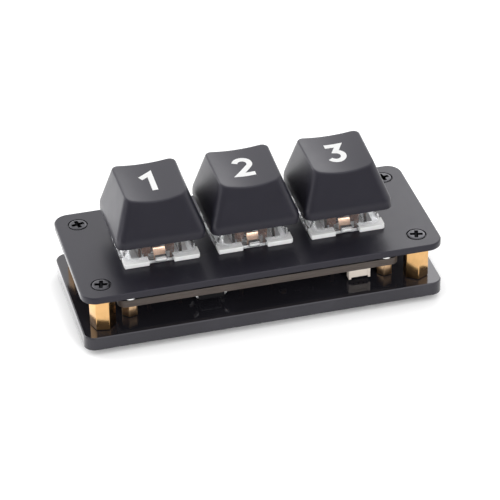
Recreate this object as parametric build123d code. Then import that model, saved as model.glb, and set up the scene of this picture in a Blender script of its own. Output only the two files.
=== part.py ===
from build123d import *
import math
import os

# A three-key desk keypad in millimetres: two plates on hex posts, a circuit board hung
# between them and a row of plate-mounted key switches. X runs along the keys, Y to the
# back and Z up. The origin lies on the table, under the middle of the plates.

# Row of keys
key_count = 3
key_pitch = 19.05
key_row_offset = 0.35
key_travel = 4.0

# Plates
plate_end_margin = 8.1
top_corner_radius = 3.0
base_corner_radius = 2.2
plate_edge_break = 0.2
top_plate_thickness = 1.5
base_plate_thickness = 3.0

# Circuit board: its ends keep clear of the corner posts, and its screws of the switches
board_to_post = 1.15
board_screw_to_switch = 0.45
board_thickness = 1.6
board_corner_radius = 1.5
plate_to_board = 5.0
under_board_gap = 2.7

# Hex posts; each corner post's front flat stands at its own angle, in degrees
post_across_flats = 4.5
post_inset = 4.5
post_end_break = 0.2
post_turns = (-11.0, 26.5, -14.0, 25.0)
board_post_across_flats = 3.0
board_post_end_inset = 2.5
board_post_side_inset = 1.9
board_post_turn = 12.0

# Screws with a cross recess
screw_diameter = 2.0
screw_hole_gap = 0.1
thread_gap = 0.02
flat_head_diameter = 3.6
flat_head_height = 0.5
flat_head_edge = 0.15
flat_head_sink = 0.4
flat_head_sink_gap = 0.25
pan_head_diameter = 3.8
pan_head_height = 1.2
pan_head_edge = 0.6
cross_span = 2.6
cross_width = 0.75
cross_depth = 0.35
post_grip_share = 0.35

# Rubber feet
foot_diameter = 7.0
foot_height = 1.2
foot_taper = 0.3
foot_inset = 5.0

# Lower housing of a switch
switch_cutout = 14.0
cutout_corner_radius = 0.4
housing_slip = 0.05
housing_wall = 1.3
housing_floor = 1.0
flange_lip = 0.8
flange_height = 1.0
flange_corner_radius = 0.6
flange_gap = 5.0
flange_side_gap = 9.8
recess_wall = 0.5
latch_width = 1.95
latch_rise = 0.9
latch_drop = 0.6
latch_reach = 0.2
plate_hook_reach = 0.35
plate_hook_height = 1.1
plate_hook_width = 4.0
pin_reach = 3.3

# Upper housing of a switch
upper_height = 5.6
upper_side_ledge = 0.15
upper_front_ledge = 0.55
upper_top_width = 11.2
upper_top_depth = 10.6
upper_foot_radius = 2.4
upper_crown_radius = 1.0
upper_wall = 0.9
upper_roof = 1.2
guide_rib_thickness = 0.6
clip_thickness = 0.7
clip_reach = 1.8
clip_gap = 0.15
clip_root = 0.3

# Stem, its return spring and the post that guides it
stem_side_room = 2.05
stem_recess = 0.2
stem_bottom = 2.0
slide_gap = 0.2
rail_reach = 0.9
rail_depth = 1.6
pole_wall = 0.45
guide_top_drop = 1.0
stop_gap = 0.2
spring_wire = 0.35
spring_gap = 0.15
pocket_wall = 0.55
pocket_roof = 1.8
stem_cross_span = 4.0
stem_cross_wide = 1.3
stem_cross_thin = 1.1
stem_cross_height = 3.6
leg_side_inset = 0.3
leg_width = 1.8
leg_depth = 1.15
leg_gap = 0.4
leg_bottom = 0.6
leg_top = 4.4

# Contacts of a switch; the fixed one leans back at its top by an angle in degrees
contact_sheet = 0.3
contact_wall_gap = 0.1
contact_width = 2.4
contact_bend = 1.05
contact_top = 2.2
contact_lean = 30.0
contact_foot_height = 1.0
leaf_sheet = 0.2
leaf_gap = 0.3
leaf_prong_offset = 0.2
leaf_prong_width = 0.9
leaf_prong_top = 1.4
leaf_bar_height = 1.2
contact_pin_x = 2.54
leaf_pin_x = 3.81
pin_width = 0.8
pin_gap = 0.1
pin_hole_diameter = 1.5

# Keycap
cap_gap = 0.95
cap_clearance = 0.2
cap_corner_radius = 1.4
cap_skirt_height = 1.6
cap_back_height = 9.7
cap_front_height = 9.2
cap_crown_depth = 12.7
cap_crown_back_width = 12.9
cap_crown_front_width = 12.3
cap_crown_radius = 1.4
cap_crown_offset = 1.0
cap_dish_back_depth = 0.65
cap_dish_front_depth = 0.95
cap_dish_margin = 0.05
cap_wall = 1.3
cap_roof = 1.5
cap_socket_diameter = 5.5
cap_socket_slip = 0.03
cap_seat_gap = 0.05

# Cable socket at the back of the board
socket_width = 8.94
socket_length = 7.3
socket_headroom = 0.34
socket_wall = 0.3
socket_to_switch = 0.95
socket_setback = 0.15
socket_overhang = 0.8
socket_back_wall = 1.2
socket_tongue_width = 6.7
socket_tongue_thickness = 0.5
socket_tongue_setback = 0.9
socket_contact_count = 12
socket_contact_pitch = 0.5
socket_contact_width = 0.25
socket_contact_thickness = 0.1
socket_contact_length = 4.0
tongue_margin = 2.5

# Three-way header under the front edge of the board
header_width = 4.5
header_depth = 1.6
header_lift = 0.6
header_wall = 0.4
header_roof = 0.7
header_setback = 0.1
header_panel_width = 3.5
header_panel_depth = 0.12
header_notch_height = 0.35
header_place_share = 1.08
header_pin_count = 3
header_pin_pitch = 1.0
header_pin_width = 0.3
header_pin_length = 1.0

# Push button under the front edge of the board
button_width = 5.2
button_case_height = 1.2
button_cover_thickness = 0.25
button_cover_inset = 0.5
button_setback = 0.15
button_place_share = -0.525
button_well_diameter = 3.8
button_well_roof = 0.3
button_hole_diameter = 2.9
button_plunger_diameter = 2.6
button_plunger_reach = 0.5
button_collar_diameter = 3.4
button_dome_thickness = 0.1
button_travel = 0.25
button_gap = 0.05
button_lead_width = 0.7
button_lead_sheet = 0.2
button_lead_root = 0.85
button_lead_spread = 0.95
button_lead_foot = 0.5
button_lead_pitch = 3.7

# Chips on the underside of the board: width, depth and height of each, then its place
# as shares of the key pitch from the middle and of the board's depth from the key row
controller_size = (7.0, 7.0, 0.85)
controller_place_shares = (0.5, 0.0)
memory_size = (6.0, 5.0, 0.8)
memory_place_shares = (-0.5, 0.16)
crystal_size = (3.2, 2.5, 0.8)
crystal_place_shares = (0.5, 0.29)
regulator_size = (2.9, 1.6, 1.1)
regulator_place_shares = (0.0, 0.36)
capacitor_size = (1.6, 0.8, 0.8)
capacitor_place_shares = (
    (0.22, 0.16), (0.3, -0.32), (0.78, 0.16), (0.78, -0.16), (-0.16, 0.36), (0.16, 0.36),
)
resistor_size = (1.0, 0.5, 0.4)
resistor_place_shares = (
    (0.34, 0.27), (0.66, 0.27), (0.46, -0.33), (0.6, -0.33), (-0.24, 0.27), (-0.74, 0.27),
)

# One length past the surface serves every cut
overrun = 1.0

# Heights that follow from the stack
base_bottom = foot_height
base_top = base_bottom + base_plate_thickness
board_bottom = base_top + under_board_gap
board_top = board_bottom + board_thickness
plate_top = board_top + plate_to_board
plate_bottom = plate_top - top_plate_thickness

# Sizes that follow from the driving ones: the plates are as deep as the middle switch and
# the cable socket behind it need, and the board as the switches and its own screws need
plate_width = key_count * key_pitch + 2 * plate_end_margin
plate_depth = 2 * (key_row_offset + switch_cutout / 2 + socket_to_switch + socket_length + socket_setback)
board_width = plate_width - 2 * (post_inset + post_across_flats / 2 + board_to_post)
board_depth = switch_cutout + pan_head_diameter + 2 * (board_screw_to_switch + board_post_side_inset)
board_front = key_row_offset - board_depth / 2
body_width = switch_cutout - 2 * housing_slip
cavity_width = body_width - 2 * housing_wall
flange_width = switch_cutout + 2 * flange_lip
upper_base_width = flange_width - 2 * upper_side_ledge
upper_base_depth = flange_width - 2 * upper_front_ledge
housing_top = flange_height + upper_height
floor_top = housing_floor - plate_to_board

# The stem fills the room between the side walls and behind the contacts, and the spring and
# its guide post fill the pocket in the stem
stem_front_room = contact_wall_gap + contact_sheet + leaf_gap + leaf_sheet + leg_gap + leg_depth
stem_width = cavity_width - 2 * stem_side_room
stem_depth = cavity_width - 2 * stem_front_room
pocket_diameter = stem_depth - 2 * pocket_wall
spring_outer = pocket_diameter - 2 * spring_gap
spring_inner = spring_outer - 2 * spring_wire
guide_diameter = spring_inner - 2 * spring_gap
guide_bore = guide_diameter - 2 * pole_wall
pole_diameter = guide_bore - 2 * slide_gap
leg_x = stem_width / 2 - leg_side_inset - leg_width / 2
leaf_prong_x = leg_x + leaf_prong_offset
stem_table = housing_top - stem_recess
pocket_ceiling = stem_table - pocket_roof
cap_base = key_pitch - cap_gap
cap_bottom = flange_height + key_travel + cap_clearance
button_dome_rise = button_travel + button_dome_thickness
button_collar_height = button_case_height - button_well_roof - button_dome_rise - 2 * button_gap

# Places along the row and in the corners
key_places = [(index - (key_count - 1) / 2) * key_pitch for index in range(key_count)]
corner_signs = [(-1, -1), (1, -1), (-1, 1), (1, 1)]
corner_places = [
    (sx * (plate_width / 2 - post_inset), sy * (plate_depth / 2 - post_inset)) for sx, sy in corner_signs
]
board_post_places = [
    (sx * (board_width / 2 - board_post_end_inset),
     key_row_offset + sy * (board_depth / 2 - board_post_side_inset))
    for sx, sy in corner_signs
]
outer_key = key_pitch * (key_count - 1) / 2
foot_places = [(sx * outer_key, sy * (plate_depth / 2 - foot_inset)) for sx, sy in corner_signs]

BOTTOM = (Align.CENTER, Align.CENTER, Align.MIN)


def block(width, depth, height, x=0.0, y=0.0, z=0.0):
    """A box centred on x and y that stands on z."""
    return Pos(x, y, z) * Box(width, depth, height, align=BOTTOM)


def rod(diameter, height, x=0.0, y=0.0, z=0.0):
    """An upright cylinder that stands on z."""
    return Pos(x, y, z) * Cylinder(diameter / 2, height, align=BOTTOM)


def hex_post(across_flats, length, turn):
    """A hex post with broken ends and a bore for a screw, one flat facing the front at no turn."""
    outline = Rot(0, 0, turn) * RegularPolygon(across_flats / 2, 6, major_radius=False)
    post = extrude(outline, length)
    ends = post.faces().sort_by(Axis.Z)
    post = chamfer(ends[0].edges() + ends[-1].edges(), post_end_break)
    return post - rod(screw_diameter + 2 * thread_gap, length + 2 * overrun, z=-overrun)


def screw(head_diameter, head_height, head_edge, shank_length):
    """A screw that points down, with the underside of its head at z 0."""
    head = rod(head_diameter, head_height)
    head = chamfer(head.edges().group_by(Axis.Z)[-1], head_edge)
    body = head + rod(screw_diameter, shank_length, z=-shank_length)
    recess_bottom = head_height - cross_depth
    body -= block(cross_span, cross_width, cross_depth + overrun, z=recess_bottom)
    body -= block(cross_width, cross_span, cross_depth + overrun, z=recess_bottom)
    return body


def flat_plate(thickness, corner_radius, z):
    """A plate with round corners and broken edges, standing on z."""
    plate = extrude(RectangleRounded(plate_width, plate_depth, corner_radius), thickness)
    sides = plate.faces().sort_by(Axis.Z)
    return Pos(0, 0, z) * chamfer(sides[0].edges() + sides[-1].edges(), plate_edge_break)


def screw_holes(places, thickness, z):
    """Clearance holes for screws through a layer that stands on z."""
    diameter = screw_diameter + 2 * screw_hole_gap
    return [rod(diameter, thickness + 2 * overrun, x, y, z - overrun) for x, y in places]


def base_plate():
    """Thick lower plate with holes for the corner posts and the board's posts."""
    plate = flat_plate(base_plate_thickness, base_corner_radius, base_bottom)
    return plate - screw_holes(corner_places + board_post_places, base_plate_thickness, base_bottom)


def top_plate():
    """Thin upper plate with a square cut-out for each switch and sunk screw holes."""
    plate = flat_plate(top_plate_thickness, top_corner_radius, plate_bottom)
    plate -= screw_holes(corner_places, top_plate_thickness, plate_bottom)
    sink = flat_head_diameter + 2 * flat_head_sink_gap
    plate -= [rod(sink, flat_head_sink + overrun, x, y, plate_top - flat_head_sink) for x, y in corner_places]
    cutout = extrude(RectangleRounded(switch_cutout, switch_cutout, cutout_corner_radius),
                     top_plate_thickness + 2 * overrun)
    return plate - [Pos(x, key_row_offset, plate_bottom - overrun) * cutout for x in key_places]


def rubber_foot():
    """A round stick-on foot that narrows to the table."""
    return Cone(foot_diameter / 2 - foot_taper, foot_diameter / 2, foot_height, align=BOTTOM)


def switch_pin_places():
    """Places of the two contact pins, measured from the middle of a switch."""
    return [(-contact_pin_x, contact_y()), (leaf_pin_x, leaf_y())]


def contact_y():
    """Middle of the fixed contact's sheet, behind the front wall."""
    return -cavity_width / 2 + contact_wall_gap + contact_sheet / 2


def leaf_y():
    """Middle of the contact leaf's sheet, between the fixed contact and the stem."""
    return contact_y() + contact_sheet / 2 + leaf_gap + leaf_sheet / 2


def socket_front():
    """Mouth of the cable socket, just inside the plate's back edge."""
    return plate_depth / 2 - socket_setback


def circuit_board():
    """Board with a tongue for the cable socket and holes for screws, guide posts and pins."""
    tongue_end = socket_front() - socket_overhang
    outline = Pos(0, key_row_offset) * RectangleRounded(board_width, board_depth, board_corner_radius)
    tongue_width = socket_width + 2 * tongue_margin
    outline += Pos(0, tongue_end / 2) * Rectangle(tongue_width, tongue_end)
    board = Pos(0, 0, board_bottom) * extrude(outline, board_thickness)
    board -= screw_holes(board_post_places, board_thickness, board_bottom)
    depth = board_thickness + 2 * overrun
    for x in key_places:
        board -= rod(guide_diameter + 2 * screw_hole_gap, depth, x, key_row_offset, board_bottom - overrun)
        for dx, dy in switch_pin_places():
            board -= rod(pin_hole_diameter, depth, x + dx, key_row_offset + dy, board_bottom - overrun)
    return board


def plate_hook(side):
    """Wedge on a side wall of the housing that snaps under the plate."""
    wall = body_width / 2
    top = -top_plate_thickness - housing_slip
    corners = [(wall, top), (wall + plate_hook_reach, top), (wall, top - plate_hook_height)]
    profile = Polyline(*corners, close=True)
    wedge = extrude(Plane.XZ * make_face(profile), plate_hook_width / 2, both=True)
    return wedge if side > 0 else mirror(wedge, Plane.YZ)


def lower_housing():
    """White lower half of a switch, with its four-cornered flange, guide post, latches and plate hooks."""
    body = RectangleRounded(body_width, body_width, cutout_corner_radius)
    housing = Pos(0, 0, -plate_to_board) * extrude(body, plate_to_board)
    flange = extrude(RectangleRounded(flange_width, flange_width, flange_corner_radius), flange_height)
    housing += flange
    housing -= block(cavity_width, cavity_width, plate_to_board + flange_height, z=floor_top)
    housing += [plate_hook(side) for side in (-1, 1)]
    recess_outer = flange_width / 2 + overrun
    recess_inner = cavity_width / 2 + recess_wall
    recess_depth = recess_outer - recess_inner
    stalk_y = cavity_width / 2 + recess_wall / 2
    nub_end = body_width / 2 + latch_reach
    nub_depth = nub_end - cavity_width / 2
    for side in (-1, 1):
        housing -= block(flange_lip + housing_slip + overrun, flange_side_gap, flange_height + overrun,
                         side * (body_width + flange_lip + housing_slip + overrun) / 2)
        middle = side * (recess_outer + recess_inner) / 2
        housing -= block(flange_gap, recess_depth, clip_reach + clip_gap + flange_height + overrun,
                         y=middle, z=-clip_reach - clip_gap)
        housing -= block(flange_gap, 2 * recess_wall, flange_height + overrun, y=side * cavity_width / 2)
        housing += block(latch_width, recess_wall, latch_rise, y=side * stalk_y)
        housing += block(latch_width, nub_depth, latch_drop,
                         y=side * (nub_end - nub_depth / 2), z=latch_rise - latch_drop)
    guide_bottom = -plate_to_board - pin_reach
    housing += rod(guide_diameter, -guide_top_drop - guide_bottom, z=guide_bottom)
    bore_bottom = pole_bottom() - key_travel - stop_gap
    housing -= rod(guide_bore, -guide_top_drop - bore_bottom + overrun, z=bore_bottom)
    for (dx, dy), sheet in zip(switch_pin_places(), (contact_sheet, leaf_sheet)):
        housing -= block(pin_width + 2 * pin_gap, sheet + 2 * pin_gap, housing_floor + overrun,
                         dx, dy, floor_top - housing_floor - overrun / 2)
    return housing


def pole_bottom():
    """Lower end of the stem's pole at rest, set so that it just clears its bore at full travel."""
    return -plate_to_board - pin_reach + pole_wall + stop_gap + key_travel


def upper_housing():
    """Clear upper half of a switch: a hollow frustum with a slide way, guide ribs, side skirts and clips."""
    foot = RectangleRounded(upper_base_width, upper_base_depth, upper_foot_radius)
    crown = RectangleRounded(upper_top_width, upper_top_depth, upper_crown_radius)
    outer = loft([Pos(0, 0, flange_height) * foot, Pos(0, 0, housing_top) * crown], ruled=True)
    share = (upper_height - upper_roof) / upper_height
    ceiling_width = upper_base_width + (upper_top_width - upper_base_width) * share - 2 * upper_wall
    ceiling_depth = upper_base_depth + (upper_top_depth - upper_base_depth) * share - 2 * upper_wall
    hollow_foot = RectangleRounded(upper_base_width - 2 * upper_wall, upper_base_depth - 2 * upper_wall,
                                   upper_foot_radius - upper_wall)
    hollow_crown = RectangleRounded(ceiling_width, ceiling_depth, upper_crown_radius - upper_wall)
    hollow = loft([Pos(0, 0, flange_height) * hollow_foot,
                   Pos(0, 0, housing_top - upper_roof) * hollow_crown], ruled=True)
    housing = outer - hollow
    rib_x = stem_width / 2 + slide_gap + guide_rib_thickness / 2
    rib_start = rail_depth / 2 + slide_gap
    rib_depth = upper_base_depth / 2 - rib_start
    for side_x, side_y in corner_signs:
        rib = block(guide_rib_thickness, rib_depth, upper_height,
                    side_x * rib_x, side_y * (rib_start + rib_depth / 2), flange_height)
        housing += rib & outer
    housing -= block(stem_width + 2 * slide_gap, stem_depth + 2 * slide_gap, upper_roof + 2 * overrun,
                     z=housing_top - upper_roof - overrun)
    clip_y = body_width / 2 - clip_thickness / 2
    window_height = latch_rise + 2 * clip_gap
    skirt_start = body_width / 2 + clip_gap
    skirt_thickness = upper_base_width / 2 - skirt_start
    for side in (-1, 1):
        housing += block(skirt_thickness, flange_side_gap - 2 * clip_gap, flange_height - clip_gap,
                         side * (skirt_start + skirt_thickness / 2), z=clip_gap)
        housing += block(flange_gap - 2 * clip_gap, clip_thickness, clip_reach + flange_height + clip_root,
                         y=side * clip_y, z=-clip_reach)
        housing -= block(latch_width + 2 * clip_gap, clip_thickness + 2 * clip_gap, window_height,
                         y=side * clip_y, z=latch_rise - latch_drop - clip_gap)
    return housing


def stem():
    """Brown slider with a cross for the cap, side rails, contact legs and a guide pole."""
    slider = block(stem_width, stem_depth, stem_table - stem_bottom, z=stem_bottom)
    rail_height = housing_top - upper_roof - slide_gap - stem_bottom
    slider += block(stem_width + 2 * rail_reach, rail_depth, rail_height, z=stem_bottom)
    leg_y = -(stem_depth + leg_depth) / 2
    for side in (-1, 1):
        slider += block(leg_width, leg_depth, leg_top - leg_bottom,
                        side * leg_x, leg_y, leg_bottom)
    slider -= rod(pocket_diameter, pocket_ceiling - stem_bottom + overrun, z=stem_bottom - overrun)
    slider += rod(pole_diameter, stem_table - pole_bottom(), z=pole_bottom())
    slider += block(stem_cross_span, stem_cross_thin, stem_cross_height, z=stem_table)
    slider += block(stem_cross_wide, stem_cross_span, stem_cross_height, z=stem_table)
    return slider


def return_spring():
    """Space of the return spring round the guide post, from the floor to the stem's pocket."""
    length = pocket_ceiling - stop_gap / 2 - floor_top
    bore = rod(spring_inner, length + 2 * overrun, z=floor_top - overrun)
    return rod(spring_outer, length, z=floor_top) - bore


def fixed_contact():
    """Copper contact: a wide tab behind the front wall that leans back at its top, a foot and a pin."""
    foot_end = contact_pin_x + pin_width / 2
    foot_width = foot_end + contact_width / 2
    front = contact_y() - contact_sheet / 2
    lean = (contact_top - contact_bend) * math.tan(math.radians(contact_lean))
    face = [(front, floor_top), (front, contact_bend), (front + lean, contact_top)]
    back = [(y + contact_sheet, z) for y, z in reversed(face)]
    profile = make_face(Polyline(*face, *back, close=True))
    tab = extrude(Plane.YZ * profile, contact_width / 2, both=True)
    foot = block(foot_width, contact_sheet, contact_foot_height,
                 contact_width / 2 - foot_width / 2, contact_y(), floor_top)
    return tab + foot + contact_pin(-contact_pin_x, contact_y(), contact_sheet)


def contact_leaf():
    """Thin forked leaf: two prongs in front of the stem's legs, a bar and a pin."""
    bar_start = -leaf_prong_x - leaf_prong_width / 2
    bar_end = leaf_pin_x + pin_width / 2
    leaf = block(bar_end - bar_start, leaf_sheet, leaf_bar_height,
                 (bar_start + bar_end) / 2, leaf_y(), floor_top)
    for side in (-1, 1):
        leaf += block(leaf_prong_width, leaf_sheet, leaf_prong_top - floor_top,
                      side * leaf_prong_x, leaf_y(), floor_top)
    return leaf + contact_pin(leaf_pin_x, leaf_y(), leaf_sheet)


def contact_pin(x, y, sheet):
    """A contact's pin, down through the floor and the board."""
    bottom = -plate_to_board - pin_reach
    return block(pin_width, sheet, floor_top - bottom, x, y, bottom)


def crown_plane():
    """Tilted plane through the four top corners of a keycap."""
    rise = cap_back_height - cap_front_height
    tilt = math.atan2(rise, cap_crown_depth)
    middle = cap_bottom + (cap_back_height + cap_front_height) / 2
    normal = (0, -math.sin(tilt), math.cos(tilt))
    return Plane(origin=(0, cap_crown_offset, middle), x_dir=(1, 0, 0), z_dir=normal)


def crown_outline():
    """Top outline of a keycap: wider at the back, with round corners."""
    back = cap_crown_depth / 2
    corners = [
        (cap_crown_front_width / 2, -back),
        (cap_crown_back_width / 2, back),
        (-cap_crown_back_width / 2, back),
        (-cap_crown_front_width / 2, -back),
    ]
    face = make_face(Polyline(*corners, close=True))
    return fillet(face.vertices(), cap_crown_radius)


def dish_circle(y, width, depth):
    """Circle across the crown whose lowest point lies at the given depth below the crown plane."""
    sag = depth - cap_dish_margin
    radius = (width ** 2 / 4 + sag ** 2) / (2 * sag)
    return Pos(0, y, radius - depth) * Plane.XZ * Circle(radius)


def finger_dish():
    """The hollow in the crown, deeper and more curved at the front than at the back."""
    end = cap_crown_depth / 2 + overrun
    front = dish_circle(-end, cap_crown_front_width, cap_dish_front_depth)
    back = dish_circle(end, cap_crown_back_width, cap_dish_back_depth)
    return loft([front, back], ruled=True)


def keycap():
    """Hollow keycap with an upright skirt, sloping walls, a dished top and a cross socket."""
    skirt_top = cap_bottom + cap_skirt_height
    foot = RectangleRounded(cap_base, cap_base, cap_corner_radius)
    cap = extrude(Pos(0, 0, cap_bottom) * foot, cap_skirt_height)
    plane = crown_plane()
    cap += loft([Pos(0, 0, skirt_top) * foot, plane.location * crown_outline()], ruled=True)
    cap -= plane.location * finger_dish()
    ceiling = plane.origin.Z - cap_dish_front_depth - cap_roof
    share = (ceiling - skirt_top) / (plane.origin.Z - skirt_top)
    ceiling_width = cap_base + (cap_crown_front_width - cap_base) * share - 2 * cap_wall
    ceiling_depth = cap_base + (cap_crown_depth - cap_base) * share - 2 * cap_wall
    hollow_base = cap_base - 2 * cap_wall
    hollow_foot = Rectangle(hollow_base, hollow_base)
    hollow_crown = Pos(0, cap_crown_offset * share, ceiling) * Rectangle(ceiling_width, ceiling_depth)
    cap -= extrude(Pos(0, 0, cap_bottom) * hollow_foot, cap_skirt_height)
    cap -= loft([Pos(0, 0, skirt_top) * hollow_foot, hollow_crown], ruled=True)
    socket_bottom = stem_table + cap_seat_gap
    cap += rod(cap_socket_diameter, ceiling - socket_bottom + cap_roof / 2, z=socket_bottom)
    slot_height = stem_cross_height + overrun
    slot_span = stem_cross_span + 2 * cap_socket_slip
    slot_bottom = stem_table + stem_cross_height - slot_height + cap_socket_slip
    cap -= block(slot_span, stem_cross_thin + 2 * cap_socket_slip, slot_height, z=slot_bottom)
    cap -= block(stem_cross_wide + 2 * cap_socket_slip, slot_span, slot_height, z=slot_bottom)
    return cap


def slot_bar(width, height, length, y, z):
    """A bar with round sides that runs back from y, with its middle line at height z."""
    face = Plane.XZ * SlotOverall(width, height)
    return Pos(0, y, z) * extrude(face, -length)


def socket_height():
    """Outer height of the cable socket, from the board to just under the top plate."""
    return plate_to_board - top_plate_thickness - socket_headroom


def socket_middle():
    """Height of the cable socket's middle line."""
    return board_top + socket_height() / 2


def socket_shell():
    """Bent metal shell of the cable socket, open at both ends."""
    start = socket_front() - socket_length
    outer = slot_bar(socket_width, socket_height(), socket_length, start, socket_middle())
    inner_height = socket_height() - 2 * socket_wall
    inner = slot_bar(socket_width - 2 * socket_wall, inner_height, socket_length + 2 * overrun,
                     start - overrun, socket_middle())
    return outer - inner


def socket_insert():
    """Moulded back wall and tongue inside the cable socket."""
    start = socket_front() - socket_length
    inner_width = socket_width - 2 * socket_wall
    inner_height = socket_height() - 2 * socket_wall
    insert = slot_bar(inner_width, inner_height, socket_back_wall, start, socket_middle())
    tongue_length = socket_length - socket_tongue_setback
    bottom = socket_middle() - socket_tongue_thickness / 2
    return insert + block(socket_tongue_width, tongue_length, socket_tongue_thickness,
                          0, start + tongue_length / 2, bottom)


def socket_contacts():
    """Two rows of contact strips on the tongue's faces."""
    end = socket_front() - socket_tongue_setback
    strips = []
    for index in range(socket_contact_count):
        x = (index - (socket_contact_count - 1) / 2) * socket_contact_pitch
        for z in (socket_middle() + socket_tongue_thickness / 2,
                  socket_middle() - socket_tongue_thickness / 2 - socket_contact_thickness):
            strips.append(block(socket_contact_width, socket_contact_length, socket_contact_thickness,
                                x, end - socket_contact_length / 2, z))
    return strips


def header_place():
    """Middle of the header's front face."""
    return header_place_share * key_pitch, board_front + header_setback


def header_housing():
    """Cream header body with its mouth down, a sunk panel in front and a notch between two feet."""
    x, front = header_place()
    middle = front + header_depth / 2
    height = under_board_gap - header_lift
    bottom = board_bottom - height
    housing = block(header_width, header_depth, height, x, middle, bottom)
    housing -= block(header_width - 2 * header_wall, header_depth - 2 * header_wall,
                     height - header_roof + overrun, x, middle, bottom - overrun)
    housing -= block(header_panel_width, 2 * header_panel_depth, height - header_wall + overrun,
                     x, front, bottom - overrun)
    return housing - block(header_panel_width, 2 * header_wall, header_notch_height + overrun,
                           x, front, bottom - overrun)


def header_pins():
    """Square pins that hang in the header's mouth."""
    x, front = header_place()
    bottom = board_bottom - header_roof - header_pin_length
    return [
        block(header_pin_width, header_pin_width, header_pin_length,
              x + (index - (header_pin_count - 1) / 2) * header_pin_pitch, front + header_depth / 2, bottom)
        for index in range(header_pin_count)
    ]


def button_place():
    """Middle of the push button, close behind the board's front edge."""
    return button_place_share * key_pitch, board_front + button_setback + button_width / 2


def button_case():
    """Black base of the push button with a round well for the plunger."""
    x, y = button_place()
    bottom = board_bottom - button_case_height
    case = block(button_width, button_width, button_case_height, x, y, bottom)
    well_depth = button_case_height - button_well_roof
    return case - rod(button_well_diameter, well_depth + overrun, x, y, bottom - overrun)


def button_cover():
    """Metal plate that closes the button's well around the plunger."""
    x, y = button_place()
    bottom = board_bottom - button_case_height - button_cover_thickness
    width = button_width - 2 * button_cover_inset
    cover = block(width, width, button_cover_thickness, x, y, bottom)
    return cover - rod(button_hole_diameter, button_cover_thickness + 2 * overrun, x, y, bottom - overrun)


def button_plunger():
    """Plunger that stands out below the cover, with a collar that keeps it in."""
    x, y = button_place()
    collar_bottom = board_bottom - button_case_height + button_gap
    bottom = collar_bottom - button_gap - button_cover_thickness - button_plunger_reach
    plunger = rod(button_plunger_diameter, collar_bottom - bottom, x, y, bottom)
    return plunger + rod(button_collar_diameter, button_collar_height, x, y, collar_bottom)


def button_dome():
    """Snap dome in the roof of the well: a thin cap of a sphere that bulges down to the plunger."""
    x, y = button_place()
    half = button_collar_diameter / 2
    radius = (half ** 2 + button_dome_rise ** 2) / (2 * button_dome_rise)
    centre = board_bottom - button_well_roof - button_dome_rise + radius
    shell = Sphere(radius) - Sphere(radius - button_dome_thickness)
    keep = block(button_well_diameter, button_well_diameter, button_dome_rise, z=-radius)
    return Pos(x, y, centre) * (shell & keep)


def button_leads():
    """Four bent leads from the sides of the case up to the board."""
    x, y = button_place()
    root = board_bottom - button_lead_root
    inner = button_width / 2
    knee = inner + button_lead_spread - button_lead_foot
    outer = inner + button_lead_spread
    sheet = button_lead_sheet
    corners = [
        (inner, root),
        (inner + sheet, root),
        (knee + sheet, board_bottom - sheet),
        (outer, board_bottom - sheet),
        (outer, board_bottom),
        (knee, board_bottom),
        (inner, root + sheet),
    ]
    outline = make_face(Polyline(*corners, close=True))
    lead = extrude(Plane.XZ * outline, button_lead_width / 2, both=True)
    leads = []
    for dy in (-button_lead_pitch / 2, button_lead_pitch / 2):
        leads.append(Pos(x, y + dy, 0) * lead)
        leads.append(Pos(x, y + dy, 0) * mirror(lead, Plane.YZ))
    return leads


def chip(size, shares):
    """A flat chip on the underside of the board, at shares of the key pitch and board depth."""
    width, depth, height = size
    return block(width, depth, height, shares[0] * key_pitch, key_row_offset + shares[1] * board_depth,
                 board_bottom - height)


def save(name, solids):
    """Write one node: a single piece or a group of separate pieces."""
    shape = Compound(children=solids) if isinstance(solids, list) else solids
    export_step(shape, os.path.join("parts", name + ".step"))


def save_plates_and_posts():
    """Plates, posts, screws and feet."""
    post_length = plate_bottom - base_top
    grip = post_grip_share * post_length
    board_grip = post_grip_share * under_board_gap
    flat_head = (flat_head_diameter, flat_head_height, flat_head_edge)
    pan_head = (pan_head_diameter, pan_head_height, pan_head_edge)
    top_screw = screw(*flat_head, top_plate_thickness - flat_head_sink + grip)
    board_screw = screw(*pan_head, board_thickness + board_grip)
    upside_down = Rot(180, 0, 0)
    base_screw = upside_down * screw(*flat_head, base_plate_thickness + grip)
    board_base_screw = upside_down * screw(*flat_head, base_plate_thickness + board_grip)
    save("base_plate", base_plate())
    save("top_plate", top_plate())
    save("corner_posts", [
        Pos(x, y, base_top) * hex_post(post_across_flats, post_length, turn)
        for (x, y), turn in zip(corner_places, post_turns)
    ])
    save("board_posts", [
        Pos(x, y, base_top) * hex_post(board_post_across_flats, under_board_gap, board_post_turn)
        for x, y in board_post_places
    ])
    save("top_screws", [Pos(x, y, plate_top - flat_head_sink) * top_screw for x, y in corner_places])
    save("base_screws", [Pos(x, y, base_bottom) * base_screw for x, y in corner_places])
    save("board_screws", [Pos(x, y, board_top) * board_screw for x, y in board_post_places])
    save("board_base_screws", [Pos(x, y, base_bottom) * board_base_screw for x, y in board_post_places])
    save("rubber_feet", [Pos(x, y, 0) * rubber_foot() for x, y in foot_places])


def save_board():
    """Circuit board and what is soldered to it."""
    save("circuit_board", circuit_board())
    save("socket_shell", socket_shell())
    save("socket_insert", socket_insert())
    save("socket_contacts", socket_contacts())
    save("header_housing", header_housing())
    save("header_pins", header_pins())
    save("button_case", button_case())
    save("button_cover", button_cover())
    save("button_plunger", button_plunger())
    save("button_dome", button_dome())
    save("button_leads", button_leads())
    save("controller_chip", chip(controller_size, controller_place_shares))
    save("memory_chip", chip(memory_size, memory_place_shares))
    save("crystal_can", chip(crystal_size, crystal_place_shares))
    save("voltage_regulator", chip(regulator_size, regulator_place_shares))
    save("capacitors", [chip(capacitor_size, shares) for shares in capacitor_place_shares])
    save("resistors", [chip(resistor_size, shares) for shares in resistor_place_shares])


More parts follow.
